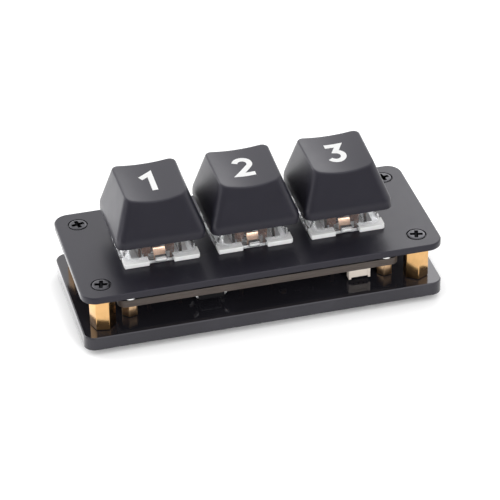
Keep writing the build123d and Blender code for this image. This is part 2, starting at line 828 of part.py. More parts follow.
def save_keys():
    """The pieces of each switch and its keycap, numbered from the left."""
    pieces = {
        "lower_housing": lower_housing(),
        "upper_housing": upper_housing(),
        "stem": stem(),
        "return_spring": return_spring(),
        "fixed_contact": fixed_contact(),
        "contact_leaf": contact_leaf(),
        "keycap": keycap(),
    }
    for number, x in enumerate(key_places, start=1):
        for name, piece in pieces.items():
            save(f"{name}_{number}", Pos(x, key_row_offset, plate_top) * piece)


os.makedirs("parts", exist_ok=True)
save_plates_and_posts()
save_board()
save_keys()
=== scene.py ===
"""Looks of a three-key desk keypad.

Two black plates on brass posts hold a circuit board and three clear key switches with dished caps.
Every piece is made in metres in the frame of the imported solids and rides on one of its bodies.
"""
import logging
import math
from dataclasses import dataclass
from enum import Enum
from functools import cache
from typing import Any, Callable, Iterable, Optional, Sequence, Union

import bmesh
import bpy
from mathutils import Matrix, Vector


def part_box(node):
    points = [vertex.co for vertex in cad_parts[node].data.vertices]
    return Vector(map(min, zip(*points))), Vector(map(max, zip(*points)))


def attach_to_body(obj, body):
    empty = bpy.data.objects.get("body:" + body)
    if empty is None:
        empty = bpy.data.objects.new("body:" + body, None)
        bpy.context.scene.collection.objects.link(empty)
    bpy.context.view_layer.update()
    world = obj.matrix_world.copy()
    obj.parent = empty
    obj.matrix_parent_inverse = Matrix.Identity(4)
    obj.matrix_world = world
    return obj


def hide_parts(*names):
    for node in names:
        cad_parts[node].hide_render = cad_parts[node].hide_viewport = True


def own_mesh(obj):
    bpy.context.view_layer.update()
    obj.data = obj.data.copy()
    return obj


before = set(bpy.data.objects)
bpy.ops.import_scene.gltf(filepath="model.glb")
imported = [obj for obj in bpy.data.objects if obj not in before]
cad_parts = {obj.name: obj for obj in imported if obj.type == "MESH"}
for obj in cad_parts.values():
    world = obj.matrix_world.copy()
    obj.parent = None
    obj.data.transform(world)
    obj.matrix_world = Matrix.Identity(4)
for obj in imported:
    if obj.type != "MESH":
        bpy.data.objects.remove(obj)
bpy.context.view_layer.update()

log = logging.getLogger("keypad")

MM = 0.001
KEYS = (1, 2, 3)
MERGE_DISTANCE = 0.001 * MM
FLAT_ANGLE = math.radians(1.0)
SHARP_ANGLE = math.radians(35.0)
RIM_SEGMENTS = 2
# Height of the normal below which a face looks down
DOWNWARD = -0.9
# Attribute that marks the hollow of a screw's cross, where the finish paints shade
RECESS_SHADE_MARK = "hollow"

Point = tuple[float, float, float]
Colour = tuple[float, float, float]
Corners = list[tuple[float, float]]
Loop = list[Vector]
Box = tuple[Vector, Vector]
Ring = Sequence[bmesh.types.BMVert]
Socket = bpy.types.NodeSocket
SocketValue = Union[Socket, float, int, str, Sequence[float], bpy.types.ID]
Span = tuple[SocketValue, SocketValue]

UNIT: Span = (0.0, 1.0)
WHITE: Colour = (1.0, 1.0, 1.0)


class Slot(Enum):
    """Material slots of the record."""

    BLACK_ACRYLIC = "black_acrylic"
    BLACK_PLATE = "black_plate"
    BRASS = "brass"
    BLACK_SCREW = "black_screw"
    BRIGHT_SCREW = "bright_screw"
    FOOT_RUBBER = "foot_rubber"
    BOARD = "board"
    BRIGHT_STEEL = "bright_steel"
    BLACK_MOULDING = "black_moulding"
    GOLD_CONTACT = "gold_contact"
    CREAM_MOULDING = "cream_moulding"
    CHIP_RESIN = "chip_resin"
    CAPACITOR_CERAMIC = "capacitor_ceramic"
    WHITE_MOULDING = "white_moulding"
    CLEAR_MOULDING = "clear_moulding"
    BROWN_MOULDING = "brown_moulding"
    COPPER_CONTACT = "copper_contact"
    CAP_PLASTIC = "cap_plastic"


class Body(Enum):
    """Bodies of the frame that don't belong to one key."""

    BASE = "base"
    BUTTON = "button"


class Facing(Enum):
    """Which way the head of a screw looks, as a turn about X."""

    UP = 0.0
    DOWN = math.pi


class SocketKind(Enum):
    """Types of the sockets of node groups."""

    FLOAT = "NodeSocketFloat"
    VECTOR = "NodeSocketVector"
    GEOMETRY = "NodeSocketGeometry"
    OBJECT = "NodeSocketObject"
    MATERIAL = "NodeSocketMaterial"


# Node trees


def rgba(colour: Colour) -> tuple[float, float, float, float]:
    """A colour with full opacity, as a socket takes it."""
    return (*colour, 1.0)


class Graph:
    """Short calls that add and link the nodes of one tree."""

    def __init__(self, tree: bpy.types.NodeTree) -> None:
        """Keep the tree and clear it."""
        self.tree = tree
        tree.nodes.clear()

    def add(
        self, kind: str, inputs: Optional[dict[Any, SocketValue]] = None, **settings: Any
    ) -> bpy.types.Node:
        """Add one node.

        Args:
            kind: Name of the node's type.
            inputs: Values or sockets for its inputs, by name or index.
            settings: Attributes of the node itself.

        Returns:
            The new node.
        """
        node = self.tree.nodes.new(kind)
        for name, value in settings.items():
            setattr(node, name, value)
        for key, value in (inputs or {}).items():
            self.put(node.inputs[key], value)
        return node

    def put(self, socket: Socket, value: SocketValue) -> None:
        """Link a socket into an input, or set the input's own value.

        Args:
            socket: The input.
            value: A socket to link, or a plain value.
        """
        if isinstance(value, Socket):
            self.tree.links.new(value, socket)
        else:
            socket.default_value = value

    def spot(self) -> Socket:
        """Place on the piece, in the frame."""
        return self.add("ShaderNodeTexCoord").outputs["Object"]

    def compute(self, operation: str, *values: SocketValue) -> Socket:
        """Result of an operation on numbers."""
        return self.add("ShaderNodeMath", dict(enumerate(values)), operation=operation).outputs[0]

    def vectors(self, operation: str, first: SocketValue, second: SocketValue) -> bpy.types.Node:
        """Node that combines two vectors."""
        return self.add("ShaderNodeVectorMath", {0: first, 1: second}, operation=operation)

    def noise(self, spot: Socket, **values: SocketValue) -> Socket:
        """Value of a noise at a place."""
        return self.add("ShaderNodeTexNoise", {"Vector": spot, **values}).outputs[0]

    def ranged(self, value: Socket, given: Span = UNIT, wanted: Span = UNIT, soft: bool = False) -> Socket:
        """Carry a value from one range to another and hold it there.

        Args:
            value: The value.
            given: Range that it comes in.
            wanted: Range that it goes out in.
            soft: Whether it eases in and out.

        Returns:
            The new value.
        """
        inputs = {
            "Value": value,
            "From Min": given[0],
            "From Max": given[1],
            "To Min": wanted[0],
            "To Max": wanted[1],
        }
        easing = "SMOOTHSTEP" if soft else "LINEAR"
        return self.add("ShaderNodeMapRange", inputs, clamp=True, interpolation_type=easing).outputs[0]

    def mixed(self, share: Socket, low: SocketValue, high: SocketValue) -> Socket:
        """Number between two others."""
        return self.add("ShaderNodeMix", {0: share, 2: low, 3: high}, data_type="FLOAT").outputs[0]

    def mixed_colour(self, share: Socket, low: SocketValue, high: SocketValue) -> Socket:
        """Colour between two others."""
        return self.add("ShaderNodeMix", {0: share, 6: low, 7: high}, data_type="RGBA").outputs[2]

    def blend(self, mask: Socket, low: Colour, high: Colour) -> Socket:
        """Go from one plain colour to another with a mask.

        Args:
            mask: The mask, from zero to one.
            low: Colour at zero.
            high: Colour at one.

        Returns:
            The colour that changes over the surface.
        """
        ramp = self.add("ShaderNodeValToRGB", {"Fac": mask})
        for stop, colour in zip(ramp.color_ramp.elements, (low, high)):
            stop.color = rgba(colour)
        return ramp.outputs[0]

    def bump(self, height: Socket, relief: float) -> Socket:
        """Direction of a surface that a height roughens."""
        inputs = {"Strength": 1.0, "Distance": relief, "Height": height}
        return self.add("ShaderNodeBump", inputs).outputs[0]

    def effect(self, tree: bpy.types.NodeTree, **inputs: SocketValue) -> bpy.types.NodeOutputs:
        """Outputs of a shared effect that is placed here with its own values."""
        return self.add("ShaderNodeGroup", inputs, node_tree=tree).outputs


def open_group(
    name: str, kind: str, inputs: dict[str, SocketKind], outputs: dict[str, SocketKind]
) -> tuple[Graph, bpy.types.Node, bpy.types.Node]:
    """Start a node group with named sockets.

    Args:
        name: Name of the group.
        kind: Type of node tree.
        inputs: Type of each input by name.
        outputs: Type of each output by name.

    Returns:
        The graph of the group, its input node and its output node.
    """
    tree = bpy.data.node_groups.new(name, kind)
    for side, sockets in (("INPUT", inputs), ("OUTPUT", outputs)):
        for socket_name, socket_kind in sockets.items():
            tree.interface.new_socket(socket_name, in_out=side, socket_type=socket_kind.value)
    graph = Graph(tree)
    return graph, graph.add("NodeGroupInput"), graph.add("NodeGroupOutput")


def fresh_material(name: str) -> tuple[bpy.types.Material, Graph]:
    """Start a material.

    Args:
        name: Name of the material.

    Returns:
        The material and its cleared tree.
    """
    made = bpy.data.materials.new(name)
    made.use_nodes = True
    return made, Graph(made.node_tree)


# Effects that several finishes share, each a node group built at its first use

GRAIN_NOISE = {"Detail": 2.0, "Roughness": 0.55}
MOTTLE_NOISE = {"Detail": 3.0}
MOTTLE_SHARE = 0.04
STREAK_NOISE = {"Scale": 1.0, "Detail": 4.0, "Roughness": 0.6}
STREAK_SPAN = (0.35, 0.65)
SMEAR_NOISE = {"Detail": 5.0, "Roughness": 0.6, "Distortion": 0.8}
SMEAR_SPAN = (0.45, 0.75)


@cache
def moulded_grain() -> bpy.types.NodeTree:
    """Fine spark-eroded grain with slow mottling.

    Returns:
        A group that puts out a height and a mottle mask.
    """
    graph, ins, outs = open_group(
        "moulded grain", "ShaderNodeTree",
        {"Scale": SocketKind.FLOAT}, {"Height": SocketKind.FLOAT, "Mottle": SocketKind.FLOAT},
    )
    spot = graph.spot()
    scale = ins.outputs["Scale"]
    wide = graph.compute("MULTIPLY", scale, MOTTLE_SHARE)
    graph.put(outs.inputs["Height"], graph.noise(spot, Scale=scale, **GRAIN_NOISE))
    graph.put(outs.inputs["Mottle"], graph.noise(spot, Scale=wide, **MOTTLE_NOISE))
    return graph.tree


@cache
def drawn_streaks() -> bpy.types.NodeTree:
    """Fine lines along one direction, as on drawn or rolled metal and on laminate.

    Returns:
        A group that puts out a height and a streak mask.
    """
    graph, ins, outs = open_group(
        "drawn streaks", "ShaderNodeTree",
        {"Stretch": SocketKind.VECTOR}, {"Height": SocketKind.FLOAT, "Mask": SocketKind.FLOAT},
    )
    stretched = graph.vectors("MULTIPLY", graph.spot(), ins.outputs["Stretch"])
    lines = graph.noise(stretched.outputs[0], **STREAK_NOISE)
    graph.put(outs.inputs["Height"], lines)
    graph.put(outs.inputs["Mask"], graph.ranged(lines, STREAK_SPAN))
    return graph.tree


@cache
def handling_smears() -> bpy.types.NodeTree:
    """Soft patches where fingers have dulled a glossy surface.

    Returns:
        A group that puts out one mask.
    """
    graph, ins, outs = open_group(
        "handling smears", "ShaderNodeTree", {"Scale": SocketKind.FLOAT}, {"Mask": SocketKind.FLOAT}
    )
    patches = graph.noise(graph.spot(), Scale=ins.outputs["Scale"], **SMEAR_NOISE)
    graph.put(outs.inputs["Mask"], graph.ranged(patches, SMEAR_SPAN, soft=True))
    return graph.tree


# Finishes


@dataclass(frozen=True)
class Finish:
    """A procedural finish for one material slot."""

    slot: Slot
    colour: Colour
    roughness: float
    variant: str = ""

    def material(self) -> bpy.types.Material:
        """The finish as a material, built at its first use.

        Returns:
            The material.
        """
        name = f"finish_{self.slot.value}{self.variant}"
        found = bpy.data.materials.get(name)
        if found is None:
            found, graph = fresh_material(name)
            self.paint(graph)
        return found

    def paint(self, graph: Graph) -> None:
        """Build the nodes of the material in its cleared tree."""
        raise NotImplementedError

    def surface(self, graph: Graph, inputs: dict[str, SocketValue]) -> None:
        """Add the shader with its values or sockets, and the material's output."""
        shader = graph.add("ShaderNodeBsdfPrincipled", inputs)
        graph.add("ShaderNodeOutputMaterial", {"Surface": shader.outputs[0]})

    def shaded(self, share: float) -> Colour:
        """The finish's colour, lighter or darker by a share."""
        return tuple(channel * (1.0 + share) for channel in self.colour)


@dataclass(frozen=True)
class Moulding(Finish):
    """Moulded plastic, paint, rubber or resin with a fine grain."""

    grain: float = 0.12 * MM
    relief: float = 0.004 * MM
    mottle: float = 0.06
    dulling: float = 0.06
    ior: float = 1.5
    tint: Colour = WHITE

    def paint(self, graph: Graph) -> None:
        """Grain in the normal, with slow mottling of colour and gloss.

        Args:
            graph: Cleared tree of the material.
        """
        grain = graph.effect(moulded_grain(), Scale=1.0 / self.grain)
        mottle = grain["Mottle"]
        gloss = (self.roughness - self.dulling, self.roughness + self.dulling)
        self.surface(graph, {
            "Base Color": graph.blend(mottle, self.shaded(-self.mottle), self.shaded(self.mottle)),
            "Roughness": graph.ranged(mottle, wanted=gloss),
            "IOR": self.ior,
            "Specular Tint": rgba(self.tint),
            "Normal": graph.bump(grain["Height"], self.relief),
        })


@dataclass(frozen=True)
class Metal(Finish):
    """Bright metal with drawn or rolled lines, a little tarnish, and painted shade in a marked recess
    where one is given.
    """

    tarnish: Colour = (0.5, 0.5, 0.5)
    stretch: Point = (9000.0, 9000.0, 500.0)
    smears_per_metre: float = 350.0
    relief: float = 0.0006 * MM
    dulling: float = 0.08
    # Colour of the painted shade in the marked recess, if any
    hollow: Optional[Colour] = None

    def paint(self, graph: Graph) -> None:
        """Streaks in the normal and the gloss, tarnish in smears, and painted shade in a marked recess.

        Args:
            graph: Cleared tree of the material.
        """
        streaks = graph.effect(drawn_streaks(), Stretch=self.stretch)
        smears = graph.effect(handling_smears(), Scale=self.smears_per_metre)
        colour = graph.blend(smears["Mask"], self.colour, self.tarnish)
        # Painted shade: the marked recess turns dark to stand in for the shade inside it
        if self.hollow:
            depth = graph.add("ShaderNodeAttribute", attribute_name=RECESS_SHADE_MARK).outputs["Fac"]
            colour = graph.mixed_colour(depth, colour, rgba(self.hollow))
        gloss = (self.roughness, self.roughness + self.dulling)
        self.surface(graph, {
            "Base Color": colour,
            "Metallic": 1.0,
            "Roughness": graph.ranged(streaks["Mask"], wanted=gloss),
            "Normal": graph.bump(streaks["Height"], self.relief),
        })


@dataclass(frozen=True)
class Gloss(Finish):
    """Polished sheet whose shine is dulled in patches by handling."""

    smeared: float = 0.16
    smear_light: float = 0.5
    smears_per_metre: float = 50.0
    ripple: float = 0.002 * MM
    ripple_size: float = 6.0 * MM
    ior: float = 1.49
    tint: Colour = WHITE

    def paint(self, graph: Graph) -> None:
        """Smears in the gloss and a faint ripple in the surface.

        Args:
            graph: Cleared tree of the material.
        """
        mask = graph.effect(handling_smears(), Scale=self.smears_per_metre)["Mask"]
        ripple = graph.effect(moulded_grain(), Scale=1.0 / self.ripple_size)
        self.surface(graph, {
            "Base Color": graph.blend(mask, self.colour, self.shaded(self.smear_light)),
            "Roughness": graph.ranged(mask, wanted=(self.roughness, self.smeared)),
            "IOR": self.ior,
            "Specular Tint": rgba(self.tint),
            "Normal": graph.bump(ripple["Height"], self.ripple),
        })


@dataclass(frozen=True)
class Laminate(Finish):
    """Circuit board: a dark mask on its faces and bare brown laminate at its edges."""

    edge: Colour = (0.11, 0.09, 0.079)
    edge_shade: float = 0.6
    edge_roughness: float = 0.6
    face_span: Span = (0.4, 0.6)
    layers: Point = (300.0, 300.0, 9000.0)
    grain: float = 0.3 * MM
    relief: float = 0.003 * MM
    mottle: float = 0.1

    def paint(self, graph: Graph) -> None:
        """Tell faces from edges by the surface's own direction.

        Args:
            graph: Cleared tree of the material.
        """
        normal = graph.add("ShaderNodeNewGeometry").outputs["Normal"]
        upright = graph.add("ShaderNodeSeparateXYZ", {0: normal}).outputs["Z"]
        face = graph.ranged(graph.compute("ABSOLUTE", upright), self.face_span)
        streaks = graph.effect(drawn_streaks(), Stretch=self.layers)
        grain = graph.effect(moulded_grain(), Scale=1.0 / self.grain)
        dark = tuple(channel * self.edge_shade for channel in self.edge)
        edge = graph.blend(streaks["Mask"], dark, self.edge)
        mask = graph.blend(grain["Mottle"], self.shaded(-self.mottle), self.shaded(self.mottle))
        self.surface(graph, {
            "Base Color": graph.mixed_colour(face, edge, mask),
            "Roughness": graph.ranged(face, wanted=(self.edge_roughness, self.roughness)),
            "Normal": graph.bump(grain["Height"], self.relief),
        })


@dataclass(frozen=True)
class ClearPlastic(Finish):
    """Clear moulded polycarbonate with flow lines."""

    ior: float = 1.22
    transmission: float = 0.97
    skin: float = 0.5
    dulling: float = 0.06
    flow: Point = (900.0, 900.0, 220.0)
    relief: float = 0.03 * MM

    def paint(self, graph: Graph) -> None:
        """Flow lines in the normal; the plastic itself is clear.

        Args:
            graph: Cleared tree of the material.
        """
        streaks = graph.effect(drawn_streaks(), Stretch=self.flow)
        gloss = (self.roughness, self.roughness + self.dulling)
        self.surface(graph, {
            "Base Color": rgba(self.colour),
            "Roughness": graph.ranged(streaks["Mask"], wanted=gloss),
            "IOR": self.ior,
            "Transmission Weight": self.transmission,
            "Coat Weight": self.skin,
            "Normal": graph.bump(streaks["Height"], self.relief),
        })


# Faint violet of the black pieces' shine
COOL = (0.95, 0.93, 1.0)

BLACK_ACRYLIC = Gloss(Slot.BLACK_ACRYLIC, (0.0145, 0.014, 0.0178), 0.09, ior=1.445, tint=COOL)
BLACK_PLATE = Moulding(
    Slot.BLACK_PLATE, (0.0112, 0.0105, 0.0158), 0.34, grain=0.09 * MM, relief=0.002 * MM,
    ior=1.355, tint=COOL,
)
BRASS = Metal(Slot.BRASS, (0.57, 0.34, 0.145), 0.18, tarnish=(0.51, 0.3, 0.125), relief=0.0002 * MM)
# Brass of the board posts: rougher than the corner posts' brass, and painted lighter and paler to stand in
# for light where they sit in shade between the plates
DULL_LIGHTENED_BRASS = Metal(Slot.BRASS, (0.64, 0.43, 0.25), 0.38, "_dull", tarnish=(0.5, 0.325, 0.18))
# The cross recess of these screws turns dark with painted shade
BLACK_SCREW = Metal(
    Slot.BLACK_SCREW, (0.053, 0.052, 0.058), 0.26, tarnish=(0.038, 0.038, 0.042), dulling=0.1,
    hollow=(0.014, 0.014, 0.016),
)
BRIGHT_SCREW = Metal(Slot.BRIGHT_SCREW, (0.74, 0.74, 0.73), 0.2, tarnish=(0.6, 0.6, 0.58))
FOOT_RUBBER = Moulding(Slot.FOOT_RUBBER, (0.018, 0.018, 0.018), 0.8, grain=0.25 * MM, relief=0.02 * MM)
BOARD = Laminate(Slot.BOARD, (0.012, 0.011, 0.012), 0.3)
BRIGHT_STEEL = Metal(Slot.BRIGHT_STEEL, (0.72, 0.72, 0.72), 0.22, tarnish=(0.6, 0.6, 0.6))
TINNED = Metal(Slot.BRIGHT_STEEL, (0.93, 0.93, 0.92), 0.4, "_tinned", tarnish=(0.85, 0.85, 0.84))
BLACK_MOULDING = Moulding(Slot.BLACK_MOULDING, (0.007, 0.007, 0.008), 0.6, ior=1.22)
GOLD_CONTACT = Metal(Slot.GOLD_CONTACT, (0.9, 0.66, 0.25), 0.18, tarnish=(0.82, 0.58, 0.2))
CREAM_MOULDING = Moulding(Slot.CREAM_MOULDING, (0.8, 0.715, 0.63), 0.45, mottle=0.02)
CHIP_RESIN = Moulding(Slot.CHIP_RESIN, (0.022, 0.022, 0.024), 0.6, grain=0.06 * MM, relief=0.006 * MM)
CERAMIC = Moulding(Slot.CAPACITOR_CERAMIC, (0.45, 0.31, 0.18), 0.5)
WHITE_MOULDING = Moulding(
    Slot.WHITE_MOULDING, (0.88, 0.88, 0.875), 0.42, mottle=0.015, relief=0.002 * MM
)
CLEAR_MOULDING = ClearPlastic(Slot.CLEAR_MOULDING, (0.79, 0.795, 0.81), 0.03)
BROWN_MOULDING = Moulding(Slot.BROWN_MOULDING, (0.1, 0.036, 0.018), 0.4, mottle=0.04)
COPPER_CONTACT = Metal(Slot.COPPER_CONTACT, (0.9, 0.6, 0.42), 0.28, tarnish=(0.84, 0.52, 0.34))
# Copper of the contact leaves: rougher, and painted dark to stand in for the shade inside the housing
# under the cap
DULL_SHADED_COPPER = Metal(Slot.COPPER_CONTACT, (0.3, 0.14, 0.085), 0.4, "_dull", tarnish=(0.2, 0.09, 0.05))
CAP_PLASTIC = Moulding(
    Slot.CAP_PLASTIC, (0.0108, 0.0102, 0.0155), 0.4, grain=0.13 * MM, relief=0.006 * MM,
    mottle=0.1, dulling=0.05, ior=1.385, tint=COOL,
)
WHITE_INK = Moulding(
    Slot.CAP_PLASTIC, (0.82, 0.82, 0.815), 0.6, "_ink", mottle=0.02, relief=0.002 * MM, ior=1.3
)


# Outlines


def fillet_loop(corners: Corners, radius: float, steps: int, spans: int = 1) -> Loop:
    """A closed outline whose corners are round.

    Args:
        corners: Corner points in the XY plane, counter-clockwise.
        radius: Radius of every corner.
        steps: Segments in each corner's arc.
        spans: Segments in each straight side.

    Returns:
        The points of the outline at height zero.
    """
    points = [Vector((x, y, 0.0)) for x, y in corners]
    arcs: list[Loop] = []
    for index, corner in enumerate(points):
        before = (points[index - 1] - corner).normalized()
        after = (points[(index + 1) % len(points)] - corner).normalized()
        half = before.angle(after) / 2
        inward = before.cross(after).z > 0
        reach = radius / math.tan(half)
        centre = corner + (before + after).normalized() * (radius / math.sin(half))
        start = corner + before * reach - centre
        turn = (math.pi - 2 * half) * (-1 if inward else 1)
        arcs.append([
            centre + Matrix.Rotation(turn * step / steps, 3, "Z") @ start for step in range(steps + 1)
        ])
    loop: Loop = []
    for index, bend in enumerate(arcs):
        loop += bend
        following = arcs[(index + 1) % len(arcs)][0]
        loop += [bend[-1].lerp(following, span / spans) for span in range(1, spans)]
    return loop


def rectangle(width: float, depth: float) -> Corners:
    """Corners of a rectangle round the origin."""
    x, y = width / 2, depth / 2
    return [(-x, -y), (x, -y), (x, y), (-x, y)]


def cross(span: float, width: float) -> Corners:
    """Corners of a plus sign round the origin.

    Args:
        span: Length of its bars.
        width: Width of its bars.

    Returns:
        The corners, counter-clockwise.
    """
    arm, side = span / 2, width / 2
    quarter = [(arm, -side), (arm, side), (side, side)]
    corners = []
    for turn in range(4):
        for x, y in quarter:
            for _ in range(turn):
                x, y = -y, x
            corners.append((x, y))
    return corners


def circle(radius: float, steps: int) -> Loop:
    """Points of a circle round the origin at height zero."""
    angles = [2 * math.pi * step / steps for step in range(steps)]
    return [Vector((radius * math.cos(angle), radius * math.sin(angle), 0.0)) for angle in angles]


def arc(centre: tuple[float, float], radius: float, start: float, end: float, steps: int = 24) -> Loop:
    """Points of an arc at height zero.

    Args:
        centre: Middle of its circle.
        radius: Radius of its circle.
        start: Angle in degrees where it starts.
        end: Angle in degrees where it ends.
        steps: Segments of the arc.

    Returns:
        The points from start to end.
    """
    x, y = centre
    angles = [math.radians(start + (end - start) * step / steps) for step in range(steps + 1)]
    return [Vector((x + radius * math.cos(angle), y + radius * math.sin(angle), 0.0)) for angle in angles]


def moved(loop: Loop, offset: Union[Vector, Point], scale: float = 1.0) -> Loop:
    """A copy of an outline, scaled about the origin and then moved."""
    return [point * scale + Vector(offset) for point in loop]


def lifted(loop: Loop, height: float, scale: float = 1.0) -> Loop:
    """A copy of an outline, scaled about the origin and then raised."""
    return moved(loop, (0.0, 0.0, height), scale)


# Middle lines of the printed figures, as shares of their height
FIGURE_SHARES = {
    1: [Vector((-0.26, 0.2, 0.0)), Vector((0.08, 0.42, 0.0)), Vector((0.08, -0.5, 0.0))],
    2: arc((0.0, 0.18), 0.24, 165.0, -35.0) + [Vector((-0.22, -0.41, 0.0)), Vector((0.3, -0.41, 0.0))],
    3: [Vector((-0.26, 0.41, 0.0)), Vector((0.2, 0.41, 0.0))] + arc((-0.03, -0.16), 0.25, 80.0, -150.0),
}


# Meshes


def smooth_mesh(work: bmesh.types.BMesh, name: str) -> bpy.types.Mesh:
    """Turn a work mesh into a smooth-shaded mesh.

    Args:
        work: The work mesh, which is freed.
        name: Name of the mesh.

    Returns:
        The mesh.
    """
    made = bpy.data.meshes.new(name)
    work.to_mesh(made)
    work.free()
    made.shade_smooth()
    return made


def creased_mesh(work: bmesh.types.BMesh, name: str) -> bpy.types.Mesh:
    """Turn a work mesh into a mesh with outward faces and sharp creases.

    Args:
        work: The work mesh, which is freed.
        name: Name of the mesh.

    Returns:
        The mesh.
    """
    bmesh.ops.recalc_face_normals(work, faces=work.faces)
    made = smooth_mesh(work, name)
    made.set_sharp_from_angle(angle=SHARP_ANGLE)
    return made


def ribbon(line: Loop, width: float) -> bmesh.types.BMesh:
    """A flat strip along a line, with pointed corners.

    Args:
        line: Points of the strip's middle.
        width: Width of the strip.

    Returns:
        The strip's faces, which look up.
    """
    ways = [(after - before).normalized() for before, after in zip(line, line[1:])]
    work = bmesh.new()
    sides = []
    for point, before, after in zip(line, ways[:1] + ways, ways + ways[-1:]):
        across = Vector((-before.y - after.y, before.x + after.x, 0.0)).normalized()
        reach = width / 2 / across.dot(Vector((-after.y, after.x, 0.0)))
        sides.append((work.verts.new(point + across * reach), work.verts.new(point - across * reach)))
    for (left, right), (next_left, next_right) in zip(sides, sides[1:]):
        work.faces.new((left, right, next_right, next_left))
    return work


class Shell:
    """A mesh that grows ring by ring."""

    def __init__(self) -> None:
        """Start with nothing."""
        self.work = bmesh.new()

    def ring(self, loop: Loop) -> Ring:
        """Add the points of an outline."""
        return [self.work.verts.new(point) for point in loop]

    def band(self, low: Ring, high: Ring) -> None:
        """Join two rings of the same count with a strip of faces.

        Args:
            low: First ring.
            high: Second ring.
        """
        count = len(low)
        for index in range(count):
            following = (index + 1) % count
            self.work.faces.new((low[index], low[following], high[following], high[index]))

    def stack(self, loops: Iterable[Loop]) -> tuple[Ring, Ring]:
        """Join outlines of the same count, each to the next.

        Args:
            loops: Outlines in order.

        Returns:
            The first and the last ring.
        """
        rings = [self.ring(loop) for loop in loops]
        for low, high in zip(rings, rings[1:]):
            self.band(low, high)
        return rings[0], rings[-1]

    def turn(self, profile: Sequence[tuple[float, float]], steps: int) -> tuple[Ring, Ring]:
        """Turn a profile of radii and heights about Z, and give its first and last ring."""
        return self.stack(lifted(circle(radius, steps), height) for radius, height in profile)

    def fan(self, ring: Ring, tip: Vector) -> None:
        """Close a ring with triangles that meet at a point.

        Args:
            ring: The ring.
            tip: The point.
        """
        point = self.work.verts.new(tip)
        for index, vertex in enumerate(ring):
            self.work.faces.new((vertex, ring[(index + 1) % len(ring)], point))

    def fill(self, *rings: Ring) -> None:
        """Fill the flat area inside the first ring and outside the others.

        Args:
            rings: The rings.
        """
        edges = []
        for ring in rings:
            for index, vertex in enumerate(ring):
                pair = (vertex, ring[(index + 1) % len(ring)])
                edges.append(self.work.edges.get(pair) or self.work.edges.new(pair))
        bmesh.ops.triangle_fill(self.work, use_beauty=True, edges=edges)

    def mesh(self, name: str) -> bpy.types.Mesh:
        """The finished shell, its doubled points merged."""
        bmesh.ops.remove_doubles(self.work, verts=self.work.verts, dist=MERGE_DISTANCE)
        return creased_mesh(self.work, name)


def linked(name: str, data: Optional[bpy.types.ID]) -> bpy.types.Object:
    """Put an object into the scene.

    Args:
        name: Name of the object.
        data: What it holds.

    Returns:
        The object.
    """
    made = bpy.data.objects.new(name, data)
    bpy.context.scene.collection.objects.link(made)
    return made


def evaluated(mesh: bpy.types.Mesh, dress_up: Callable[[bpy.types.Object], None]) -> bpy.types.Mesh:
    """A plain mesh with the result of an object's modifiers.

    Args:
        mesh: Mesh to start from.
        dress_up: Adds the modifiers to a passing object that holds the mesh.

    Returns:
        The new mesh.
    """
    carrier = linked(mesh.name, mesh)
    dress_up(carrier)
    graph = bpy.context.evaluated_depsgraph_get()
    result = bpy.data.meshes.new_from_object(carrier.evaluated_get(graph))
    carrier.modifiers.clear()
    bpy.data.objects.remove(carrier)
    result.name = mesh.name
    return result


def merged(node: str) -> bmesh.types.BMesh:
    """A work copy of a solid's mesh with its triangles joined.

    Args:
        node: Name of the solid's node.

    Returns:
        The work mesh.
    """
    work = bmesh.new()
    work.from_mesh(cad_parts[node].data)
    bmesh.ops.remove_doubles(work, verts=work.verts, dist=MERGE_DISTANCE)
    return work


def refined(node: str, rim: float, retreat: float = 0.0, sink: float = 0.0) -> bpy.types.Mesh:
    """A copy of a solid's mesh with its triangles joined and its edges rounded.

    Args:
        node: Name of the solid's node.
        rim: Width of the rounding.
        retreat: How far every surface draws back, so that it touches no other.
        sink: How far the faces that look down go into what carries them.

    Returns:
        The new mesh.
    """
    work = merged(node)
    bmesh.ops.dissolve_limit(work, angle_limit=FLAT_ANGLE, verts=work.verts, edges=work.edges)
    for vertex in {vertex for face in work.faces if face.normal.z < DOWNWARD for vertex in face.verts}:
        vertex.co.z -= sink

    def round_edges(carrier: bpy.types.Object) -> None:
        """Add the modifiers that round the edges and flatten the shading of the faces.

        Args:
            carrier: Object that holds the mesh.
        """
        back = carrier.modifiers.new("retreat", "DISPLACE")
        back.strength = -retreat
        back.mid_level = 0.0
        bevel = carrier.modifiers.new("rim", "BEVEL")
        bevel.width = rim
        bevel.segments = RIM_SEGMENTS
        bevel.limit_method = "ANGLE"
        bevel.angle_limit = SHARP_ANGLE
        bevel.use_clamp_overlap = True
        bevel.miter_outer = "MITER_ARC"
        carrier.modifiers.new("shading", "WEIGHTED_NORMAL").keep_sharp = True

    return evaluated(smooth_mesh(work, node), round_edges)


def middle(box: Box) -> Vector:
    """Middle of a box."""
    return (box[0] + box[1]) / 2


def solids(node: str) -> list[Box]:
    """Boxes of the separate solids of a node.

    Args:
        node: Name of the node.

    Returns:
        The lowest and highest corner of each solid, from front to back and left to right.
    """
    work = merged(node)
    waiting = set(work.verts)
    boxes = []
    while waiting:
        front = [waiting.pop()]
        island = []
        while front:
            vertex = front.pop()
            island.append(vertex.co.copy())
            for edge in vertex.link_edges:
                other = edge.other_vert(vertex)
                if other in waiting:
                    waiting.remove(other)
                    front.append(other)
        low = Vector([min(point[axis] for point in island) for axis in range(3)])
        high = Vector([max(point[axis] for point in island) for axis in range(3)])
        boxes.append((low, high))
    work.free()
    return sorted(boxes, key=lambda box: (round(middle(box).y / MM), round(middle(box).x / MM)))


